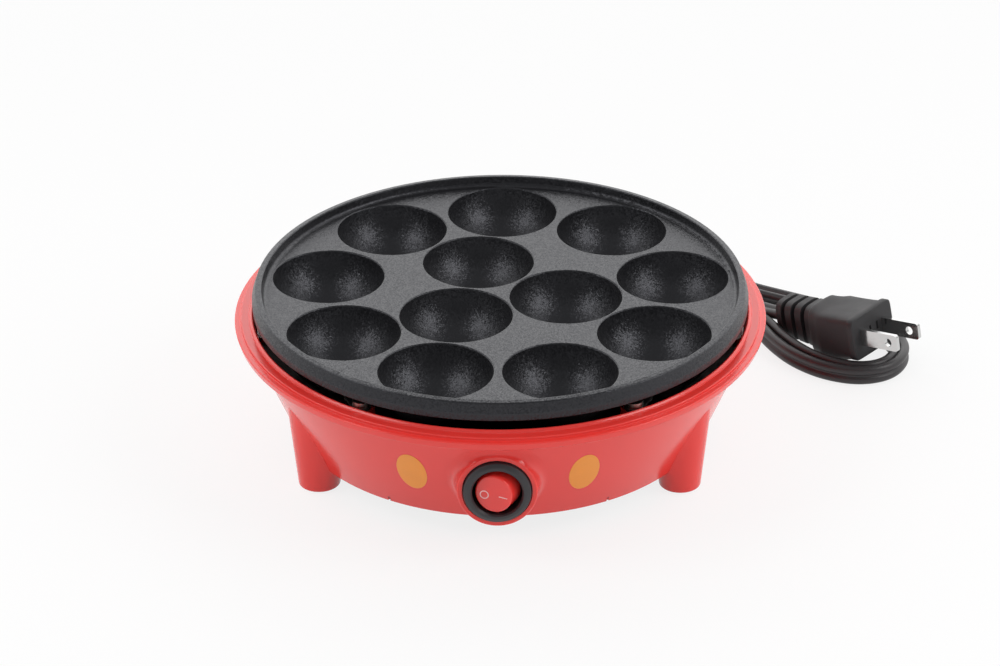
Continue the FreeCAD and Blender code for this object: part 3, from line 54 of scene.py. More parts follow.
# ---- places, in millimetres and degrees --------------------------------------
# The flat twin cord: its way out of the bushing, then two turns round one long
# hank, whose centre line is RIGHT_LOOP and LEFT_LOOP, and its way into the plug.
CORD_LEAD = [(44.58, 83.84, 27.0), (51.01, 95.94, 27.0), (61.0, 104.4, 23.1), (73.0, 106.5, 16.9),
             (82.9, 101.0, 10.3), (89.4, 90.2, 5.4), (93.9, 78.4, 3.9)]
RIGHT_LOOP = [(68.5, 116.5), (78.0, 106.5), (87.5, 96.5), (94.5, 85.5), (99.0, 73.0),
              (103.5, 61.5), (110.5, 50.0), (121.0, 40.8), (133.5, 37.0), (144.5, 41.5),
              (150.0, 54.0), (146.0, 67.0), (135.0, 77.5), (122.0, 86.5), (108.0, 94.0),
              (94.0, 101.5), (82.5, 111.0), (73.5, 121.5)]
LEFT_LOOP = [(61.5, 131.5), (50.0, 139.0), (34.0, 145.5), (17.0, 150.0), (-2.0, 152.5),
             (-19.0, 152.5), (-34.0, 150.5), (-44.5, 144.0), (-48.5, 134.5), (-44.5, 124.5),
             (-33.0, 118.0), (-16.0, 117.0), (2.0, 118.0), (20.0, 120.5), (38.0, 122.5),
             (51.0, 122.5), (60.0, 120.5)]
CORD_TAIL = [(88.0, 97.5, 4.0), (95.0, 88.5, 4.6)]
TAIL_RUN = 4.7             # of the tail's straight end before the relief
JOIN = 3                   # the point of RIGHT_LOOP where the lead joins the hank
EASE = (4, (0.5, 1.0, 1.0, 0.8, 0.2))   # the inner turn stands off the outer one from here on
TWIST_IN = (12.0, 55.0)    # the cord turns on edge from here, over this run
TWIST_OUT = (6.0, 50.0)    # and lies flat this far before its end, after this run
CORD_STEP = 1.3            # between two sections of the cord

PLUG_FACE = (137.8, 48.6, 15.8)
PLUG_HEADING = -42.3       # of the blades, from the x axis
PLUG_PITCH = 11.0          # of the blades above the level
PLUG_ROLL = 2.5            # of the moulding round the blades' direction
PLUG_LENGTH = 22.6
RELIEF_LENGTH = 20.3
PLUG_SHIFT = 0.6           # of the moulding to its left of the blades' middle
# Sections of the moulding: behind its face, half width, half height, lift, squareness.
PLUG_SECTIONS = [(0.0, 11.5, 8.0, 0.0, 10), (0.4, 11.9, 8.3, 0.0, 10), (2.8, 11.9, 8.3, 0.0, 10),
                 (3.4, 11.0, 8.4, -0.4, 8), (10.0, 10.6, 9.2, -1.3, 8), (17.0, 10.8, 9.9, -1.9, 7),
                 (19.5, 10.0, 9.7, -1.6, 5), (22.0, 9.4, 9.75, -1.25, 4),
                 (23.3, 9.2, 9.75, -1.15, 4), (23.9, 8.6, 9.45, -1.15, 4),
                 (24.2, 6.8, 8.65, -1.35, 4)]
RELIEF_ENDS = ((24.3, 6.7, 8.55, -1.35, 4), (42.4, 6.2, 7.0, 0.2, 4))
RELIEF_SLOTS = (28.6, 33.5, 38.4)
SLOT_WIDTH = 1.9
SLOT_SIDE = 0.02           # a slot's side drops over this length
RELIEF_ROUND = (0.6, 0.8)  # the relief's end narrows over this length, by this much
SPINE = (1.3, 5.6)         # half width and half height left in a slot
CORE_OVAL = (4.2, 2.5)     # and the cord's cover in it
FACE_RECESSES = ((-1.5, 1.6, 0.45, 0.9), (2.55, 1.1, 0.5, 1.6))   # middle and half sizes
RECESS_DEPTH = 0.9
RECESS_SIDE = 0.12         # a recess's side drops over this width

TIE_PLACE = (66.4, 123.6)
TIE_HEADING = 140.0        # of the hank's run under the tie
TIE_SPAN = 17.4            # across the hank
TIE_WIDTH = 6.0
TIE_THICKNESS = 0.8

SWITCH_AXIS = (0.0, -87.545, 28.3)
ROCKER_TILT = 16.0
ROCKER_FACE = 4.6          # of the rocker's face before its axis
OFF_MARK = (-3.28, -0.58)  # middles of the ring and of the bar on the rocker's face
ON_MARK = (3.39, -0.79)
ON_HALF = 1.55             # half the bar's length
ON_LEAN = -7.0
INK = 0.04                 # half the thickness of a printed mark

WALL_FOOT = (74.3, 8.8)    # radius and height of the body's lower edge
WALL_SLOPE = 0.4205        # growth of the body's radius per unit of height
SECTORS = (30.0, 120.0)    # azimuth midway between two legs, and from one leg to the next
SLITS = (30.5, 11.0)       # a slit's azimuth from midway, and the height of its top
ORNAMENTS = (("print_left", 249.03, -2.5), ("print_right", 291.1, 2.5))   # azimuth, lean
ORNAMENT_HEIGHT = 28.6

# ---- stage, in metres and watts ----------------------------------------------
FLOOR_HALF = 4.0
FLOOR_PAPER = 0.86         # its shade where light falls on it
FLOOR_GLOW = 0.82          # share of white in it where it is looked at
LAMPS = (("left_box", (-0.95, -0.25, 0.95), 5.2), ("right_box", (1.0, -0.25, 0.8), 6.2))
LAMP_SIZE = 0.7
LAMP_TARGET = (0.0, 0.0, 0.04)
VIEW_PLACE = (0.018832, -1.242066, 0.714837)
VIEW_RIGHT = (0.999908, 0.012661, -0.004812)
VIEW_AHEAD = (-0.013423, 0.878868, -0.476876)
VIEW_LENS = 141.74         # in millimetres, on a sensor 36 wide


def tinted(red, green, blue):
    """Linear colour from display steps: each over 255, then through the display's curve."""
    steps = np.array([red, green, blue]) / 255.0
    low, high = steps / 12.92, ((steps + 0.055) / 1.055) ** 2.4
    return tuple(float(value) for value in np.where(steps <= 0.04045, low, high))


# ---- sizes and colours that a user may change --------------------------------


def colour(name, steps, description):
    """A colour in the sidebar, given in display steps."""
    return bpy.props.FloatVectorProperty(name=name, description=description, subtype="COLOR",
                                         size=3, min=0.0, max=1.0, default=tinted(*steps))


def length(name, millimetres, description):
    """A length in the sidebar, given in millimetres."""
    return bpy.props.FloatProperty(name=name, description=description, default=millimetres * MM,
                                   min=0.0, subtype="DISTANCE", unit="LENGTH")


class CookerColours(bpy.types.PropertyGroup):
    """Colours of the parts that are seen"""
    shell: colour("Shell", (236, 60, 54), "Glossy plastic of the body and its legs")
    ornament: colour("Ornament", (242, 152, 44), "Two printed ovals beside the switch")
    coating: colour("Coating", (26, 26, 28), "Non-stick coating of the cooking plate")
    rocker: colour("Rocker", (240, 58, 52), "Translucent rocker of the switch")
    marks: colour("Marks", (255, 205, 205), "Ring and bar printed on the rocker")
    cord: colour("Cord", (42, 39, 41), "Sheath of the flat twin cord")


class CookerSizes(bpy.types.PropertyGroup):
    """Sizes of the cord, the prints and the coating"""
    core: length("Core", 3.7, "Thickness of one core of the flat twin cord")
    ornament_wide: length("Ornament half width", 5.5, "Half the width of a printed oval")
    ornament_tall: length("Ornament half height", 9.4, "Half the height of a printed oval")
    mark_ring: length("Ring mark", 1.6, "Outer radius of the ring on the rocker")
    mark_line: length("Mark line", 0.34, "Width of the lines of the rocker's marks")
    grain: length("Coating grain", 0.38, "Size of the coating's facets")


# ---- surfaces ---------------------------------------------------------------


def placed_mesh(name, points, faces):
    """A mesh with these points and faces."""
    mesh = bpy.data.meshes.new(name)
    mesh.from_pydata(np.asarray(points, float).tolist(), [], faces)
    mesh.validate()
    mesh.update()
    return mesh


def enclosed(points, faces):
    """Six times the volume under triangles: the sum of their corners' triple products."""
    a, b, c = points[faces[:, 0]], points[faces[:, 1]], points[faces[:, 2]]
    return np.einsum("ij,ij->i", a, np.cross(b, c)).sum()


def surface(name, grid, closed=False, capped=False, sharp=40.0):
    """Faces between neighbours of a grid of points: rows by columns, columns wrap round.

    Closed joins the last row to the first. Capped closes both end rows to a point each.
    All faces turn about where the volume that they enclose is negative.
    """
    rows, columns = grid.shape[:2]
    points = grid.reshape(-1, 3)
    index = np.arange(rows * columns).reshape(rows, columns)
    right = np.roll(index, -1, axis=1)
    below = np.roll(index, -1, axis=0)
    below_right = np.roll(right, -1, axis=0)
    last = rows if closed else rows - 1
    quads = np.stack([index, right, below_right, below], axis=-1)[:last].reshape(-1, 4)
    caps = np.empty((0, 3), int)
    if capped:
        poles = np.stack([grid[0].mean(axis=0), grid[-1].mean(axis=0)])
        first, final = len(points), len(points) + 1
        points = np.concatenate([points, poles])
        caps = np.concatenate([
            np.stack([right[0], index[0], np.full(columns, first)], axis=-1),
            np.stack([index[-1], right[-1], np.full(columns, final)], axis=-1)])
    halves = np.concatenate([quads[:, [0, 1, 2]], quads[:, [0, 2, 3]], caps])
    if enclosed(points, halves) < 0:
        quads, caps = quads[:, ::-1], caps[:, ::-1]
    mesh = placed_mesh(name, points, quads.tolist() + caps.tolist())
    mesh.shade_smooth()
    mesh.set_sharp_from_angle(angle=math.radians(sharp))
    return mesh


def piece(name, mesh, material, body):
    """A finished piece at the origin, riding on a body."""
    thing = bpy.data.objects.new(name, mesh)
    bpy.context.scene.collection.objects.link(thing)
    mesh.materials.append(material)
    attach(thing, body)
    return thing


# ---- node materials ----------------------------------------------------------


class Finish:
    """A node material: its shader, Object coordinates and short ways to add nodes."""

    def __init__(self, name, base, roughness, **values):
        self.material = bpy.data.materials.new(name)
        self.material.use_nodes = True
        self.tree = self.material.node_tree
        self.shader = self.tree.nodes["Principled BSDF"]
        self.base = tuple(base) + (1.0,)
        self.put("Base Color", self.base)
        self.put("Roughness", roughness)
        for socket, value in values.items():
            self.put(socket.replace("_", " "), value)
        self.here = self.add("ShaderNodeTexCoord").outputs["Object"]

    def feed(self, socket, value):
        """Links a value that is another node's output, and sets any other."""
        if isinstance(value, bpy.types.NodeSocket):
            self.tree.links.new(value, socket)
        else:
            socket.default_value = value

    def add(self, kind, inputs=(), **settings):
        """A new node with these settings and inputs."""
        node = self.tree.nodes.new(kind)
        for key, value in settings.items():
            setattr(node, key, value)
        for key, value in dict(inputs).items():
            self.feed(node.inputs[key], value)
        return node

    def put(self, socket, value):
        """Feeds a socket of the shader."""
        self.feed(self.shader.inputs[socket], value)

    def math(self, operation, first, second=0.0):
        node = self.add("ShaderNodeMath", {0: first, 1: second}, operation=operation)
        return node.outputs[0]

    def vector(self, operation, first, second=(0.0, 0.0, 0.0)):
        node = self.add("ShaderNodeVectorMath", {0: first, 1: second}, operation=operation)
        return node.outputs["Vector"]

    def noise(self, size, detail=2.0, place=None):
        """Cloudy noise whose patches are about this size."""
        node = self.add("ShaderNodeTexNoise", {"Vector": place or self.here, "Scale": 1.0 / size,
                                               "Detail": detail})
        return node.outputs["Fac"]

    def stretched(self, scale):
        """Object coordinates drawn out by this scale along each axis."""
        node = self.add("ShaderNodeMapping", {"Vector": self.here, "Scale": scale})
        return node.outputs["Vector"]

    def ranged(self, value, low, high, to_low, to_high):
        """A value between low and high, carried over between to_low and to_high."""
        node = self.add("ShaderNodeMapRange", {"Value": value, "From Min": low, "From Max": high,
                                               "To Min": to_low, "To Max": to_high})
        return node.outputs["Result"]

    def mixed(self, factor, first, second):
        """The first colour where the factor is 0, the second where it is 1."""
        node = self.add("ShaderNodeMix", {0: factor, 6: first, 7: second}, data_type="RGBA")
        return node.outputs[2]

    def deeper(self, share):
        """The base colour times this share."""
        return tuple(channel * share for channel in self.base[:3]) + (1.0,)

    def bump(self, height, distance):
        """Relief of this depth, on top of any relief already there."""
        node = self.add("ShaderNodeBump", {"Height": height, "Distance": distance})
        before = self.shader.inputs["Normal"].links
        if before:
            self.tree.links.new(before[0].from_socket, node.inputs["Normal"])
        self.put("Normal", node.outputs["Normal"])

    def angle(self):
        """Azimuth of a point round the upright axis, in radians."""
        parts = self.add("ShaderNodeSeparateXYZ", {"Vector": self.here})
        return self.math("ARCTAN2", parts.outputs["Y"], parts.outputs["X"])


def moulded(name, base, roughness, mottle=0.06, mottle_size=18 * MM, grain=0.25 * MM,
            depth=0.004 * MM, **values):
    """Moulded plastic: slow change of depth of colour and gloss, and a fine skin."""
    finish = Finish(name, base, roughness, **values)
    cloud = finish.noise(mottle_size, 3.0)
    tone = finish.mixed(cloud, finish.deeper(1 - mottle), finish.deeper(1 + mottle))
    finish.put("Base Color", tone)
    finish.put("Roughness", finish.ranged(cloud, 0.3, 0.7, roughness * 0.92, roughness * 1.08))
    finish.bump(finish.noise(grain, 2.0), depth)
    return finish


def metal(name, base, roughness, streak=(40, 900, 900), depth=0.006 * MM, tarnish=0.1):
    """Drawn or rolled metal: streaks along one way, faint stains."""
    finish = Finish(name, base, roughness, Metallic=1.0)
    lines = finish.noise(1.0, 3.0, finish.stretched(streak))
    stain = finish.noise(9 * MM, 4.0)
    finish.put("Base Color", finish.mixed(stain, finish.deeper(1 - tarnish), finish.base))
    finish.put("Roughness", finish.ranged(lines, 0.3, 0.7, roughness * 0.75, roughness * 1.3))
    finish.bump(lines, depth)
    return finish


def dress(nodes, finish):
    """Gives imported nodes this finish."""
    for name in nodes:
        mesh = NODES[name].data
        for slot in range(len(mesh.materials)):
            mesh.materials[slot] = finish.material


def shell_finish(base):
    """Glossy plastic: fine parting lines of the mould down to the legs, painted shade in the slits
    below.
    """
    finish = moulded("shell_plastic", base, 0.17, mottle=0.03, mottle_size=40 * MM,
                     grain=0.6 * MM, depth=0.001 * MM, IOR=1.5, Subsurface_Weight=0.15,
                     Subsurface_Radius=(1.0, 0.25, 0.2), Subsurface_Scale=3.0 * MM)
    first, pitch = (math.radians(value) for value in SECTORS)
    apart = finish.math("PINGPONG", finish.math("SUBTRACT", finish.angle(), first), pitch / 2)
    soft, full = 0.0024, 0.0012
    parting = finish.ranged(apart, pitch / 2 - soft, pitch / 2 - full, 0.0, 1.0)
    # Painted shade: the wall turns almost black where the slits lie, below their top, standing in
    # for the shade inside them.
    from_slit = finish.math("SUBTRACT", apart, math.radians(SLITS[0]))
    full, soft = 0.0050, 0.0062
    slit_shade = finish.ranged(finish.math("ABSOLUTE", from_slit), full, soft, 1.0, 0.0)
    height = finish.add("ShaderNodeSeparateXYZ", {"Vector": finish.here}).outputs["Z"]
    low = finish.ranged(height, (SLITS[1] + 0.1) * MM, (SLITS[1] + 0.3) * MM, 1.0, 0.0)
    slit_shade = finish.math("MULTIPLY", slit_shade, low)
    tone = finish.shader.inputs["Base Color"].links[0].from_socket
    tone = finish.mixed(finish.math("MULTIPLY", parting, 0.35), tone, finish.deeper(0.55))
    finish.put("Base Color", finish.mixed(finish.math("MULTIPLY", slit_shade, 0.75), tone,
                                          finish.deeper(0.12)))
    finish.bump(parting, 0.05 * MM)
    return finish


def coating_finish(base, grain):
    """Non-stick coating: small facets, each turned its own way, glitter where light strikes."""
    finish = Finish("plate_coating", base, 0.34, IOR=1.48, Specular_Tint=(0.91, 0.92, 1.0, 1.0))
    cloud = finish.noise(25 * MM, 3.0)
    finish.put("Base Color", finish.mixed(cloud, finish.deeper(0.9), finish.deeper(1.1)))
    cells = finish.add("ShaderNodeTexVoronoi", {"Vector": finish.here, "Scale": 1.0 / grain})
    most = 0.26
    turned = finish.vector("SUBTRACT", cells.outputs["Color"], (0.5, 0.5, 0.5))
    turned = finish.vector("MULTIPLY", turned, (most, most, most))
    level = finish.add("ShaderNodeNewGeometry").outputs["Normal"]
    finish.put("Normal", finish.vector("NORMALIZE", finish.vector("ADD", level, turned)))
    finish.put("Roughness", finish.ranged(finish.noise(grain * 4, 2.0), 0.3, 0.7, 0.3, 0.38))
    return finish


# ---- cord and plug -----------------------------------------------------------


def plug_axes():
    """Directions of the plug: ahead along the blades, to its left, and up from its top."""
    heading, pitch = math.radians(PLUG_HEADING), math.radians(PLUG_PITCH)
    ahead = np.array([math.cos(pitch) * math.cos(heading), math.cos(pitch) * math.sin(heading),
                      math.sin(pitch)])
    left = np.array([-math.sin(heading), math.cos(heading), 0.0])
    return ahead, left, np.cross(ahead, left)


def oblong(turn, wide, tall, square):
    """Radius of a rounded oblong by angle: (|cos/wide|^n + |sin/tall|^n) ^ (-1/n)."""
    return (np.abs(np.cos(turn) / wide) ** square
            + np.abs(np.sin(turn) / tall) ** square) ** (-1 / square)


def plug_rows():
    """The moulding's sections in order: the body, then the relief with its slots."""
    near, far = (np.array(end) for end in RELIEF_ENDS)
    half = SLOT_WIDTH / 2
    sides = np.array([-half, SLOT_SIDE - half, half - SLOT_SIDE, half])
    slots = (np.array(RELIEF_SLOTS)[:, None] + sides).ravel()
    run, narrower = RELIEF_ROUND
    behind = np.concatenate([near[:1], slots, [far[0] - run]])
    share = (behind - near[0]) / (far[0] - near[0])
    relief = near + share[:, None] * (far - near)
    rows = np.concatenate([PLUG_SECTIONS, relief, [far - [0.0, narrower, narrower, 0.0, 0.0]]])
    slotted = np.zeros(len(rows), bool)
    for count in range(len(RELIEF_SLOTS)):
        start = len(PLUG_SECTIONS) + 2 + 4 * count
        slotted[start:start + 2] = True
    return rows, slotted


def plug_mesh():
    """Rounded oblongs set one behind another; a slot keeps an upright spine and an oval.

    The face is rings of shrinking oblongs, pressed in where a recess lies.
    """
    turn = np.linspace(0, 2 * math.pi, 144, endpoint=False)
    rows, slotted = plug_rows()
    behind, wide, tall, lift, square = (rows[:, i:i + 1] for i in range(5))
    reach = oblong(turn, wide, tall, square)
    left_over = np.maximum(oblong(turn, *SPINE, 8), oblong(turn, *CORE_OVAL, 2))
    reach = np.where(slotted[:, None], np.minimum(left_over, reach), reach)
    rings = np.concatenate([np.linspace(0.02, 0.6, 50), np.linspace(0.65, 0.985, 8)])[:, None]
    reach = np.concatenate([rings * reach[:1], reach])
    behind = np.concatenate([np.zeros((len(rings), 1)), behind])
    lift = np.concatenate([np.full((len(rings), 1), lift[0, 0]), lift])
    across, upward = reach * np.cos(turn), reach * np.sin(turn) + lift
    behind = np.broadcast_to(behind, across.shape).copy()
    for middle, height, half, tall_half in FACE_RECESSES:
        inside = np.minimum(half - np.abs(across - middle), tall_half - np.abs(upward - height))
        pressed = np.clip(inside / RECESS_SIDE, 0.0, 1.0) * RECESS_DEPTH
        behind[:len(rings)] += pressed[:len(rings)]
    ahead, left, over = plug_axes()
    roll = math.radians(PLUG_ROLL)
    left, over = (left * math.cos(roll) + over * math.sin(roll),
                  over * math.cos(roll) - left * math.sin(roll))
    face = np.array(PLUG_FACE) + left * PLUG_SHIFT
    grid = (face - behind[..., None] * ahead + across[..., None] * left
            + upward[..., None] * over)
    return surface("plug_moulding", grid * MM, capped=True, sharp=50.0)


def outward(loop):
    """Unit outward direction at each point of a loop that runs anticlockwise."""
    run = np.roll(loop, -1, axis=0) - np.roll(loop, 1, axis=0)
    side = np.stack([run[:, 1], -run[:, 0]], axis=1)
    return side / np.linalg.norm(side, axis=1, keepdims=True)


def cord_route(core):
    """The cord's control points from bushing to plug, outer turn first.

    Each turn keeps half a core from the hank's centre line.
    """
    loop = np.array(RIGHT_LOOP + LEFT_LOOP)
    outer = loop + outward(loop) * core / 2
    room = np.zeros(len(loop))
    room[EASE[0]:EASE[0] + len(EASE[1])] = EASE[1]
    inner = loop - outward(loop) * (core / 2 + room)[:, None]
    flat = np.concatenate([outer[JOIN + 1:], outer[:JOIN], loop[JOIN:JOIN + 1], inner[JOIN + 1:],
                           inner[:2]])
    turns = np.column_stack([flat, np.full(len(flat), core)])
    ahead = plug_axes()[0]
    relief = np.array(PLUG_FACE) - ahead * (PLUG_LENGTH + RELIEF_LENGTH)
    tail = np.concatenate([CORD_TAIL, [relief - ahead * TAIL_RUN, relief + ahead * 2.0]])
    return np.concatenate([CORD_LEAD, turns, tail]) * MM


def smooth_line(points):
    """Points read from the spline whose control points are the route."""
    curve = bpy.data.curves.new("route", "CURVE")
    curve.dimensions = "3D"
    curve.resolution_u = 10
    spline = curve.splines.new("NURBS")
    spline.points.add(len(points) - 1)
    spline.points.foreach_set("co", np.column_stack([points, np.ones(len(points))]).ravel())
    spline.order_u = 3
    spline.use_endpoint_u = True
    holder = bpy.data.objects.new("route", curve)
    bpy.context.scene.collection.objects.link(holder)
    bpy.context.view_layer.update()
    mesh = bpy.data.meshes.new_from_object(holder)
    line = np.empty(len(mesh.vertices) * 3)
    mesh.vertices.foreach_get("co", line)
    bpy.data.objects.remove(holder)
    bpy.data.curves.remove(curve)
    bpy.data.meshes.remove(mesh)
    return line.reshape(-1, 3)


def even_line(line, step):
    """Points at even distances along a line, and their distances from its start."""
    along = np.concatenate([[0.0], np.cumsum(np.linalg.norm(np.diff(line, axis=0), axis=1))])
    places = np.linspace(0.0, along[-1], int(along[-1] / step) + 1)
    return np.stack([np.interp(places, along, line[:, axis]) for axis in range(3)], axis=1), places


def twin_profile(core, count=20):
    """Outline of two round cores side by side, joined by a web: two arcs of 290 degrees."""
    turn = np.radians(np.linspace(-145.0, 145.0, count))
    lobe = np.stack([core / 2 * (1 + np.cos(turn)), core / 2 * np.sin(turn)], axis=1)
    return np.concatenate([lobe, -lobe])


def cord_mesh(line, places, core):
    """The twin profile carried along the line: flat at both ends, on edge in the hank."""
    along = np.gradient(line, axis=0)
    along /= np.linalg.norm(along, axis=1, keepdims=True)
    side = np.cross(UP, along)
    side /= np.linalg.norm(side, axis=1, keepdims=True)
    over = np.cross(along, side)
    rise = np.clip((places / MM - TWIST_IN[0]) / TWIST_IN[1], 0.0, 1.0)
    fall = np.clip(((places[-1] - places) / MM - TWIST_OUT[0]) / TWIST_OUT[1], 0.0, 1.0)
    turn = np.minimum(rise, fall)
    turn = (turn * turn * (3 - 2 * turn) * math.pi / 2)[:, None]
    wide = np.cos(turn) * side + np.sin(turn) * over
    thin = np.cos(turn) * over - np.sin(turn) * side
    profile = twin_profile(core)
    grid = (line[:, None] + profile[None, :, :1] * wide[:, None]
            + profile[None, :, 1:] * thin[:, None])
    return surface("cord_run", grid, capped=True, sharp=60.0)


def squared(turn, power):
    """Cosine and sine, each raised to a power with its sign kept: a circle made squarer."""
    cosine, sine = np.cos(turn), np.sin(turn)
    return np.sign(cosine) * np.abs(cosine) ** power, np.sign(sine) * np.abs(sine) ** power


def tie_mesh(core):
    """A squared loop round two turns of cord, which carries a flat squared section."""
    around = np.linspace(0, 2 * math.pi, 96, endpoint=False)
    edge = np.linspace(0, 2 * math.pi, 20, endpoint=False)
    half, tall = TIE_SPAN / 2, core + TIE_THICKNESS / 2
    loop_y, loop_z = squared(around, 0.45)
    loop_y = loop_y * (half - TIE_THICKNESS / 2)
    loop_z = loop_z * (tall - TIE_THICKNESS / 2) + tall
    middle = np.stack([np.zeros(96), loop_y, loop_z], axis=1)
    out = np.stack([np.zeros(96), np.cos(around), np.sin(around)], axis=1)
    wide, thick = squared(edge, 0.5)
    grid = middle[:, None] + out[:, None] * (thick * TIE_THICKNESS / 2)[None, :, None]
    grid[..., 0] += wide * TIE_WIDTH / 2
    heading = math.radians(TIE_HEADING)
    turn = np.array([[math.cos(heading), -math.sin(heading), 0],
                     [math.sin(heading), math.cos(heading), 0], [0, 0, 1]])
    grid = grid @ turn.T + np.array([*TIE_PLACE, 0.0])
    return surface("tie_band", grid * MM, closed=True)


# ---- printed marks -----------------------------------------------------------


def wall_oval(azimuth, height, wide, tall, lean, lift=0.06 * MM):
    """A thin oval on the body's cone: rings of an ellipse, wrapped by angle and slope."""
    rings = np.array([0.02, 0.35, 0.7, 0.94, 1.0, 1.0, 0.94, 0.5, 0.02])
    raised = np.array([1, 1, 1, 1, 0.6, -1, -1, -1, -1]) * lift
    turn = np.linspace(0, 2 * math.pi, 72, endpoint=False)
    across = rings[:, None] * np.cos(turn) * wide
    upward = rings[:, None] * np.sin(turn) * tall
    lean = math.radians(lean)
    along = across * math.cos(lean) - upward * math.sin(lean)
    slant = across * math.sin(lean) + upward * math.cos(lean)
    norm = math.hypot(1.0, WALL_SLOPE)
    z = height + slant / norm
    radius = (WALL_FOOT[0] - WALL_FOOT[1] * WALL_SLOPE) * MM + z * WALL_SLOPE
    angle = math.radians(azimuth) + along / radius
    radius = radius + raised[:, None] / norm
    z = z - raised[:, None] * WALL_SLOPE / norm
    return np.stack([radius * np.cos(angle), radius * np.sin(angle), z], axis=-1)


def on_rocker(across, upward, raised):
    """Points on the rocker's tilted face, given across, up and out of it."""
    tilt = math.radians(-ROCKER_TILT)
    side = np.array([math.cos(tilt), math.sin(tilt), 0.0])
    out = np.array([math.sin(tilt), -math.cos(tilt), 0.0])
    start = np.array(SWITCH_AXIS) * MM + out * ROCKER_FACE * MM
    return start + across[..., None] * side + upward[..., None] * UP + raised[..., None] * out


def mark_ring(centre, radius, line):
    """A printed ring: a low rounded section carried round a circle."""
    turn = np.linspace(0, 2 * math.pi, 64, endpoint=False)
    section = np.linspace(0, 2 * math.pi, 10, endpoint=False)
    reach = radius - line / 2 + line / 2 * np.cos(section)
    raised = INK * MM * np.sin(section)
    across = centre[0] * MM + reach[None] * np.cos(turn)[:, None]
    upward = centre[1] * MM + reach[None] * np.sin(turn)[:, None]
    return on_rocker(across, upward, np.broadcast_to(raised, across.shape))


def mark_bar(centre, half, line, lean):
    """A printed bar: rings of a long rounded oblong."""
    turn = np.linspace(0, 2 * math.pi, 40, endpoint=False)
    rings = np.array([0.05, 0.8, 1.0, 0.8, 0.05])
    raised = np.array([1.0, 1.0, 0.0, -1.0, -1.0]) * INK * MM
    end = np.sign(np.cos(turn)) * (half - line / 2)
    along = end + line / 2 * np.cos(turn)
    side = line / 2 * np.sin(turn)
    lean = math.radians(lean)
    across = centre[0] * MM + rings[:, None] * (along * math.cos(lean) - side * math.sin(lean))
    upward = centre[1] * MM + rings[:, None] * (along * math.sin(lean) + side * math.cos(lean))
    return on_rocker(across, upward, np.broadcast_to(raised[:, None], across.shape))


# ---- one operator for each piece or group ------------------------------------


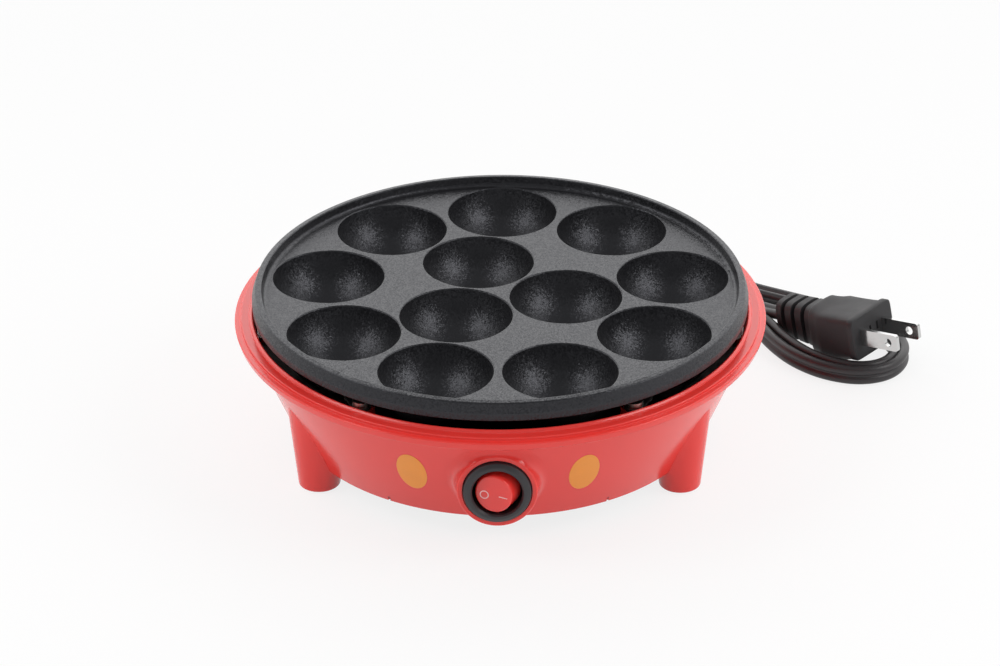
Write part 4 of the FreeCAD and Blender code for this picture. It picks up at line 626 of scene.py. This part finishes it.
class MakeStage(bpy.types.Operator):
    """Pale floor, soft lamps and the camera"""
    bl_idname = "takoyaki.make_stage"
    bl_label = "Stage"

    def execute(self, context):
        self.floor()
        self.world(context)
        self.lamps(context)
        self.camera(context)
        return {"FINISHED"}

    def floor(self):
        """A flat square sheet that looks almost white and still takes shadows."""
        half = FLOOR_HALF
        corners = [(-half, -half, 0), (half, -half, 0), (half, half, 0), (-half, half, 0)]
        mesh = placed_mesh("floor", corners, [(0, 1, 2, 3)])
        floor = bpy.data.objects.new("floor", mesh)
        bpy.context.scene.collection.objects.link(floor)
        material = bpy.data.materials.new("floor_paper")
        material.use_nodes = True
        tree = material.node_tree
        nodes, links = tree.nodes, tree.links
        nodes.clear()
        paper = nodes.new("ShaderNodeBsdfDiffuse")
        paper.inputs["Color"].default_value = (FLOOR_PAPER, FLOOR_PAPER, FLOOR_PAPER, 1)
        share = nodes.new("ShaderNodeMath")
        share.operation = "MULTIPLY"
        share.inputs[1].default_value = FLOOR_GLOW
        links.new(seen_rays(tree), share.inputs[0])
        mix = nodes.new("ShaderNodeMixShader")
        links.new(share.outputs[0], mix.inputs[0])
        links.new(paper.outputs[0], mix.inputs[1])
        links.new(nodes.new("ShaderNodeEmission").outputs[0], mix.inputs[2])
        links.new(mix.outputs[0], nodes.new("ShaderNodeOutputMaterial").inputs[0])
        mesh.materials.append(material)

    def world(self, context):
        """White round the horizon, a soft glow high behind, dimmer overhead."""
        world = bpy.data.worlds.new("studio")
        world.use_nodes = True
        tree = world.node_tree
        shader = tree.nodes["Background"]
        shader.inputs["Color"].default_value = (1, 1, 1, 1)
        parts = tree.nodes.new("ShaderNodeSeparateXYZ")
        tree.links.new(tree.nodes.new("ShaderNodeTexCoord").outputs["Generated"], parts.inputs[0])

        def band(axis, low, high, to_low, to_high):
            """A smooth step over the direction's share along an axis."""
            node = tree.nodes.new("ShaderNodeMapRange")
            node.interpolation_type = "SMOOTHSTEP"
            values = {"From Min": low, "From Max": high, "To Min": to_low, "To Max": to_high}
            for name, value in values.items():
                node.inputs[name].default_value = value
            tree.links.new(parts.outputs[axis], node.inputs["Value"])
            return node.outputs["Result"]

        def joined(operation, first, second):
            """Two levels made one."""
            node = tree.nodes.new("ShaderNodeMath")
            node.operation = operation
            tree.links.new(first, node.inputs[0])
            tree.links.new(second, node.inputs[1])
            return node.outputs[0]

        horizon = band("Z", 0.10, 0.40, 1.0, 0.0)
        behind = joined("MULTIPLY", band("Y", -0.1, 0.6, 0.0, 2.35), band("Z", 0.6, 0.9, 1.0, 0.0))
        behind = joined("MULTIPLY", behind, band("Z", 0.25, 0.55, 0.7, 1.0))
        overhead = band("Z", 0.5, 0.9, 0.2, 0.42)
        level = joined("MAXIMUM", joined("MAXIMUM", horizon, behind), overhead)
        tree.links.new(level, shader.inputs["Strength"])
        context.scene.world = world

    def lamps(self, context):
        """Two square soft boxes, one on each side, turned to the cooker."""
        for name, place, power in LAMPS:
            data = bpy.data.lights.new(name, "AREA")
            data.shape = "SQUARE"
            data.size = LAMP_SIZE
            data.energy = power
            lamp = bpy.data.objects.new(name, data)
            lamp.visible_camera = False
            context.scene.collection.objects.link(lamp)
            look = np.array(place) - np.array(LAMP_TARGET)
            back = look / np.linalg.norm(look)
            right = np.cross(UP, back)
            right /= np.linalg.norm(right)
            lamp.matrix_world = placed_axes(right, np.cross(back, right), back, place)

    def camera(self, context):
        """A long lens, from in front and above."""
        data = bpy.data.cameras.new("view")
        data.sensor_width = 36.0
        data.lens = VIEW_LENS
        camera = bpy.data.objects.new("view", data)
        context.scene.collection.objects.link(camera)
        right, ahead = np.array(VIEW_RIGHT), np.array(VIEW_AHEAD)
        camera.matrix_world = placed_axes(right, np.cross(right, ahead), -ahead, VIEW_PLACE)
        context.scene.camera = camera


def seen_rays(tree):
    """1 where the camera, a mirror or a clear body looks, 0 for light that falls on things."""
    path = tree.nodes.new("ShaderNodeLightPath")
    total = path.outputs["Is Camera Ray"]
    for name in ("Is Glossy Ray", "Is Transmission Ray"):
        most = tree.nodes.new("ShaderNodeMath")
        most.operation = "MAXIMUM"
        tree.links.new(total, most.inputs[0])
        tree.links.new(path.outputs[name], most.inputs[1])
        total = most.outputs[0]
    return total


def placed_axes(right, up, back, place):
    """The matrix that has these axes and this place as its columns."""
    axes = np.eye(4)
    axes[:3] = np.stack([right, up, back, place], axis=1)
    return Matrix(axes.tolist())


class MakeCord(bpy.types.Operator):
    """Flat twin cord, its tie and its bushing"""
    bl_idname = "takoyaki.make_cord"
    bl_label = "Cord"

    def execute(self, context):
        core = context.scene.cooker_sizes.core
        sheath = moulded("cord_pvc", context.scene.cooker_colours.cord, 0.42, mottle=0.08,
                         mottle_size=12 * MM, grain=0.5 * MM, depth=0.006 * MM)
        dress(["cord_bushing", "cord_inside"], sheath)
        route = cord_route(core / MM)
        line, places = even_line(smooth_line(route), CORD_STEP * MM)
        run = piece("cord_run", cord_mesh(line, places, core), sheath.material, "cooker")
        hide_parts("cord_lead", "cord_hank", "cord_tail")
        band = moulded("tie_plastic", tinted(30, 30, 31), 0.5, grain=0.4 * MM, depth=0.01 * MM)
        tie = piece("tie_band", tie_mesh(core / MM), band.material, "cooker")
        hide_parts("cord_tie")
        return {"FINISHED"}


class MakePlug(bpy.types.Operator):
    """Moulded plug and its two blades"""
    bl_idname = "takoyaki.make_plug"
    bl_label = "Plug"

    def execute(self, context):
        skin = moulded("plug_pvc", tinted(38, 37, 39), 0.6, mottle=0.08, mottle_size=8 * MM,
                       grain=0.35 * MM, depth=0.01 * MM)
        moulding = piece("plug_moulding", plug_mesh(), skin.material, "cooker")
        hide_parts("plug_body")
        dress(["plug_blades"], metal("blade_metal", tinted(208, 208, 207), 0.16))
        return {"FINISHED"}


class MakePlate(bpy.types.Operator):
    """Coated cooking plate"""
    bl_idname = "takoyaki.make_plate"
    bl_label = "Cooking plate"

    def execute(self, context):
        colours, sizes = context.scene.cooker_colours, context.scene.cooker_sizes
        dress(["cooking_plate"], coating_finish(colours.coating, sizes.grain))
        return {"FINISHED"}


class MakeShell(bpy.types.Operator):
    """Body shell, its feet and base, and the two printed ovals"""
    bl_idname = "takoyaki.make_shell"
    bl_label = "Body"

    def execute(self, context):
        colours, sizes = context.scene.cooker_colours, context.scene.cooker_sizes
        dress(["body_shell"], shell_finish(colours.shell))
        dress(["foot_pads"], moulded("rubber", tinted(40, 40, 42), 0.8, grain=0.5 * MM,
                                     depth=0.02 * MM))
        dress(["base_cover", "cord_clamp"],
              moulded("cover_plastic", tinted(44, 44, 46), 0.5, grain=0.4 * MM, depth=0.02 * MM))
        ink = moulded("ornament_ink", colours.ornament, 0.32, mottle=0.05, mottle_size=6 * MM)
        for name, azimuth, lean in ORNAMENTS:
            grid = wall_oval(azimuth, ORNAMENT_HEIGHT * MM, sizes.ornament_wide,
                             sizes.ornament_tall, lean)
            piece(name, surface(name, grid, capped=True), ink.material, "cooker")
        return {"FINISHED"}


class MakeSwitch(bpy.types.Operator):
    """Round rocker switch with its ring and bar marks"""
    bl_idname = "takoyaki.make_switch"
    bl_label = "Switch"

    def execute(self, context):
        colours, sizes = context.scene.cooker_colours, context.scene.cooker_sizes
        dress(["switch_housing"], moulded("switch_plastic", tinted(44, 43, 46), 0.42,
                                          grain=0.3 * MM, depth=0.004 * MM))
        rocker = moulded("rocker_plastic", colours.rocker, 0.14, mottle=0.04,
                         Subsurface_Weight=0.6, Subsurface_Radius=(1.0, 0.3, 0.2),
                         Subsurface_Scale=5.0 * MM, Coat_Weight=0.4, Coat_Roughness=0.05)
        dress(["switch_rocker"], rocker)
        dress(["switch_lamp"], moulded("lamp_glass", tinted(255, 120, 60), 0.1,
                                       Transmission_Weight=0.8))
        ink = moulded("mark_ink", colours.marks, 0.4, mottle=0.02)
        ring = mark_ring(OFF_MARK, sizes.mark_ring, sizes.mark_line)
        bar = mark_bar(ON_MARK, ON_HALF * MM, sizes.mark_line, ON_LEAN)
        piece("mark_off", surface("mark_off", ring, closed=True), ink.material, "rocker")
        piece("mark_on", surface("mark_on", bar, capped=True), ink.material, "rocker")
        return {"FINISHED"}


class MakeInside(bpy.types.Operator):
    """Heater, thermostat, shield, brackets, screws and wiring"""
    bl_idname = "takoyaki.make_inside"
    bl_label = "Inside"

    def execute(self, context):
        sheet = metal("sheet_steel", tinted(96, 94, 92), 0.45, (60, 500, 500), tarnish=0.25)
        dress(["plate_brackets", "heat_shield", "clamp_spider", "fuse_clip"], sheet)
        dress(["base_screws", "stud_screws", "post_screws", "shield_screws", "spider_screws",
               "fuse_clip_screw", "clamp_screws", "element_pins"],
              metal("screw_steel", tinted(188, 186, 180), 0.3, (300, 300, 80), tarnish=0.25))
        dress(["heating_element"], metal("sheath_steel", tinted(120, 112, 104), 0.5,
                                         (200, 200, 200), tarnish=0.4))
        dress(["element_lugs", "switch_tabs", "thermostat_tabs", "thermal_fuse"],
              metal("brass", tinted(214, 178, 96), 0.3, (400, 400, 100), tarnish=0.2))
        dress(["element_seals", "thermostat"],
              moulded("ceramic", tinted(226, 220, 206), 0.55, grain=0.6 * MM, depth=0.02 * MM))
        dress(["splice_cap"], moulded("white_plastic", tinted(228, 228, 222), 0.4))
        dress(["fuse_sleeve"], self.braid())
        dress(["wire_live"], moulded("wire_dark", tinted(34, 34, 36), 0.45))
        dress(["wire_neutral", "wire_fuse", "wire_heater", "wire_thermostat", "wire_switched",
               "wire_lamp"], moulded("wire_insulation", tinted(226, 224, 216), 0.45))
        return {"FINISHED"}

    def braid(self):
        """Woven glass sleeve: two crossing sets of fine waves."""
        finish = Finish("sleeve_fabric", tinted(216, 208, 180), 0.8)
        waves = [finish.add("ShaderNodeTexWave", {"Vector": finish.stretched((x, y, z)),
                                                  "Scale": 1.0}, bands_direction="DIAGONAL")
                 for x, y, z in ((500, 500, 500), (-500, 500, 500))]
        weave = finish.math("MULTIPLY", waves[0].outputs["Fac"], waves[1].outputs["Fac"])
        finish.put("Base Color", finish.mixed(weave, finish.deeper(0.7), finish.base))
        finish.bump(weave, 0.05 * MM)
        return finish


class CookerPanel(bpy.types.Panel):
    """Lists the pieces of the takoyaki maker"""
    bl_idname = "VIEW3D_PT_takoyaki"
    bl_label = "Takoyaki maker"
    bl_space_type = "VIEW_3D"
    bl_region_type = "UI"
    bl_category = "Takoyaki"

    def draw(self, context):
        for group in (context.scene.cooker_sizes, context.scene.cooker_colours):
            for name in group.__annotations__:
                self.layout.prop(group, name)
        for operator in STEPS:
            self.layout.operator(operator.bl_idname)


STEPS = (MakeStage, MakePlug, MakeCord, MakePlate, MakeShell, MakeSwitch, MakeInside)
CLASSES = (CookerColours, CookerSizes) + STEPS + (CookerPanel,)


def register():
    for kind in CLASSES:
        bpy.utils.register_class(kind)
    bpy.types.Scene.cooker_colours = bpy.props.PointerProperty(type=CookerColours)
    bpy.types.Scene.cooker_sizes = bpy.props.PointerProperty(type=CookerSizes)


def unregister():
    del bpy.types.Scene.cooker_sizes
    del bpy.types.Scene.cooker_colours
    for kind in reversed(CLASSES):
        bpy.utils.unregister_class(kind)


def main():
    register()
    bpy.context.scene.view_settings.view_transform = "Standard"
    bpy.ops.takoyaki.make_stage()
    bpy.ops.takoyaki.make_plug()
    bpy.ops.takoyaki.make_cord()
    bpy.ops.takoyaki.make_plate()
    bpy.ops.takoyaki.make_shell()
    bpy.ops.takoyaki.make_switch()
    bpy.ops.takoyaki.make_inside()


if __name__ == "__main__":
    main()
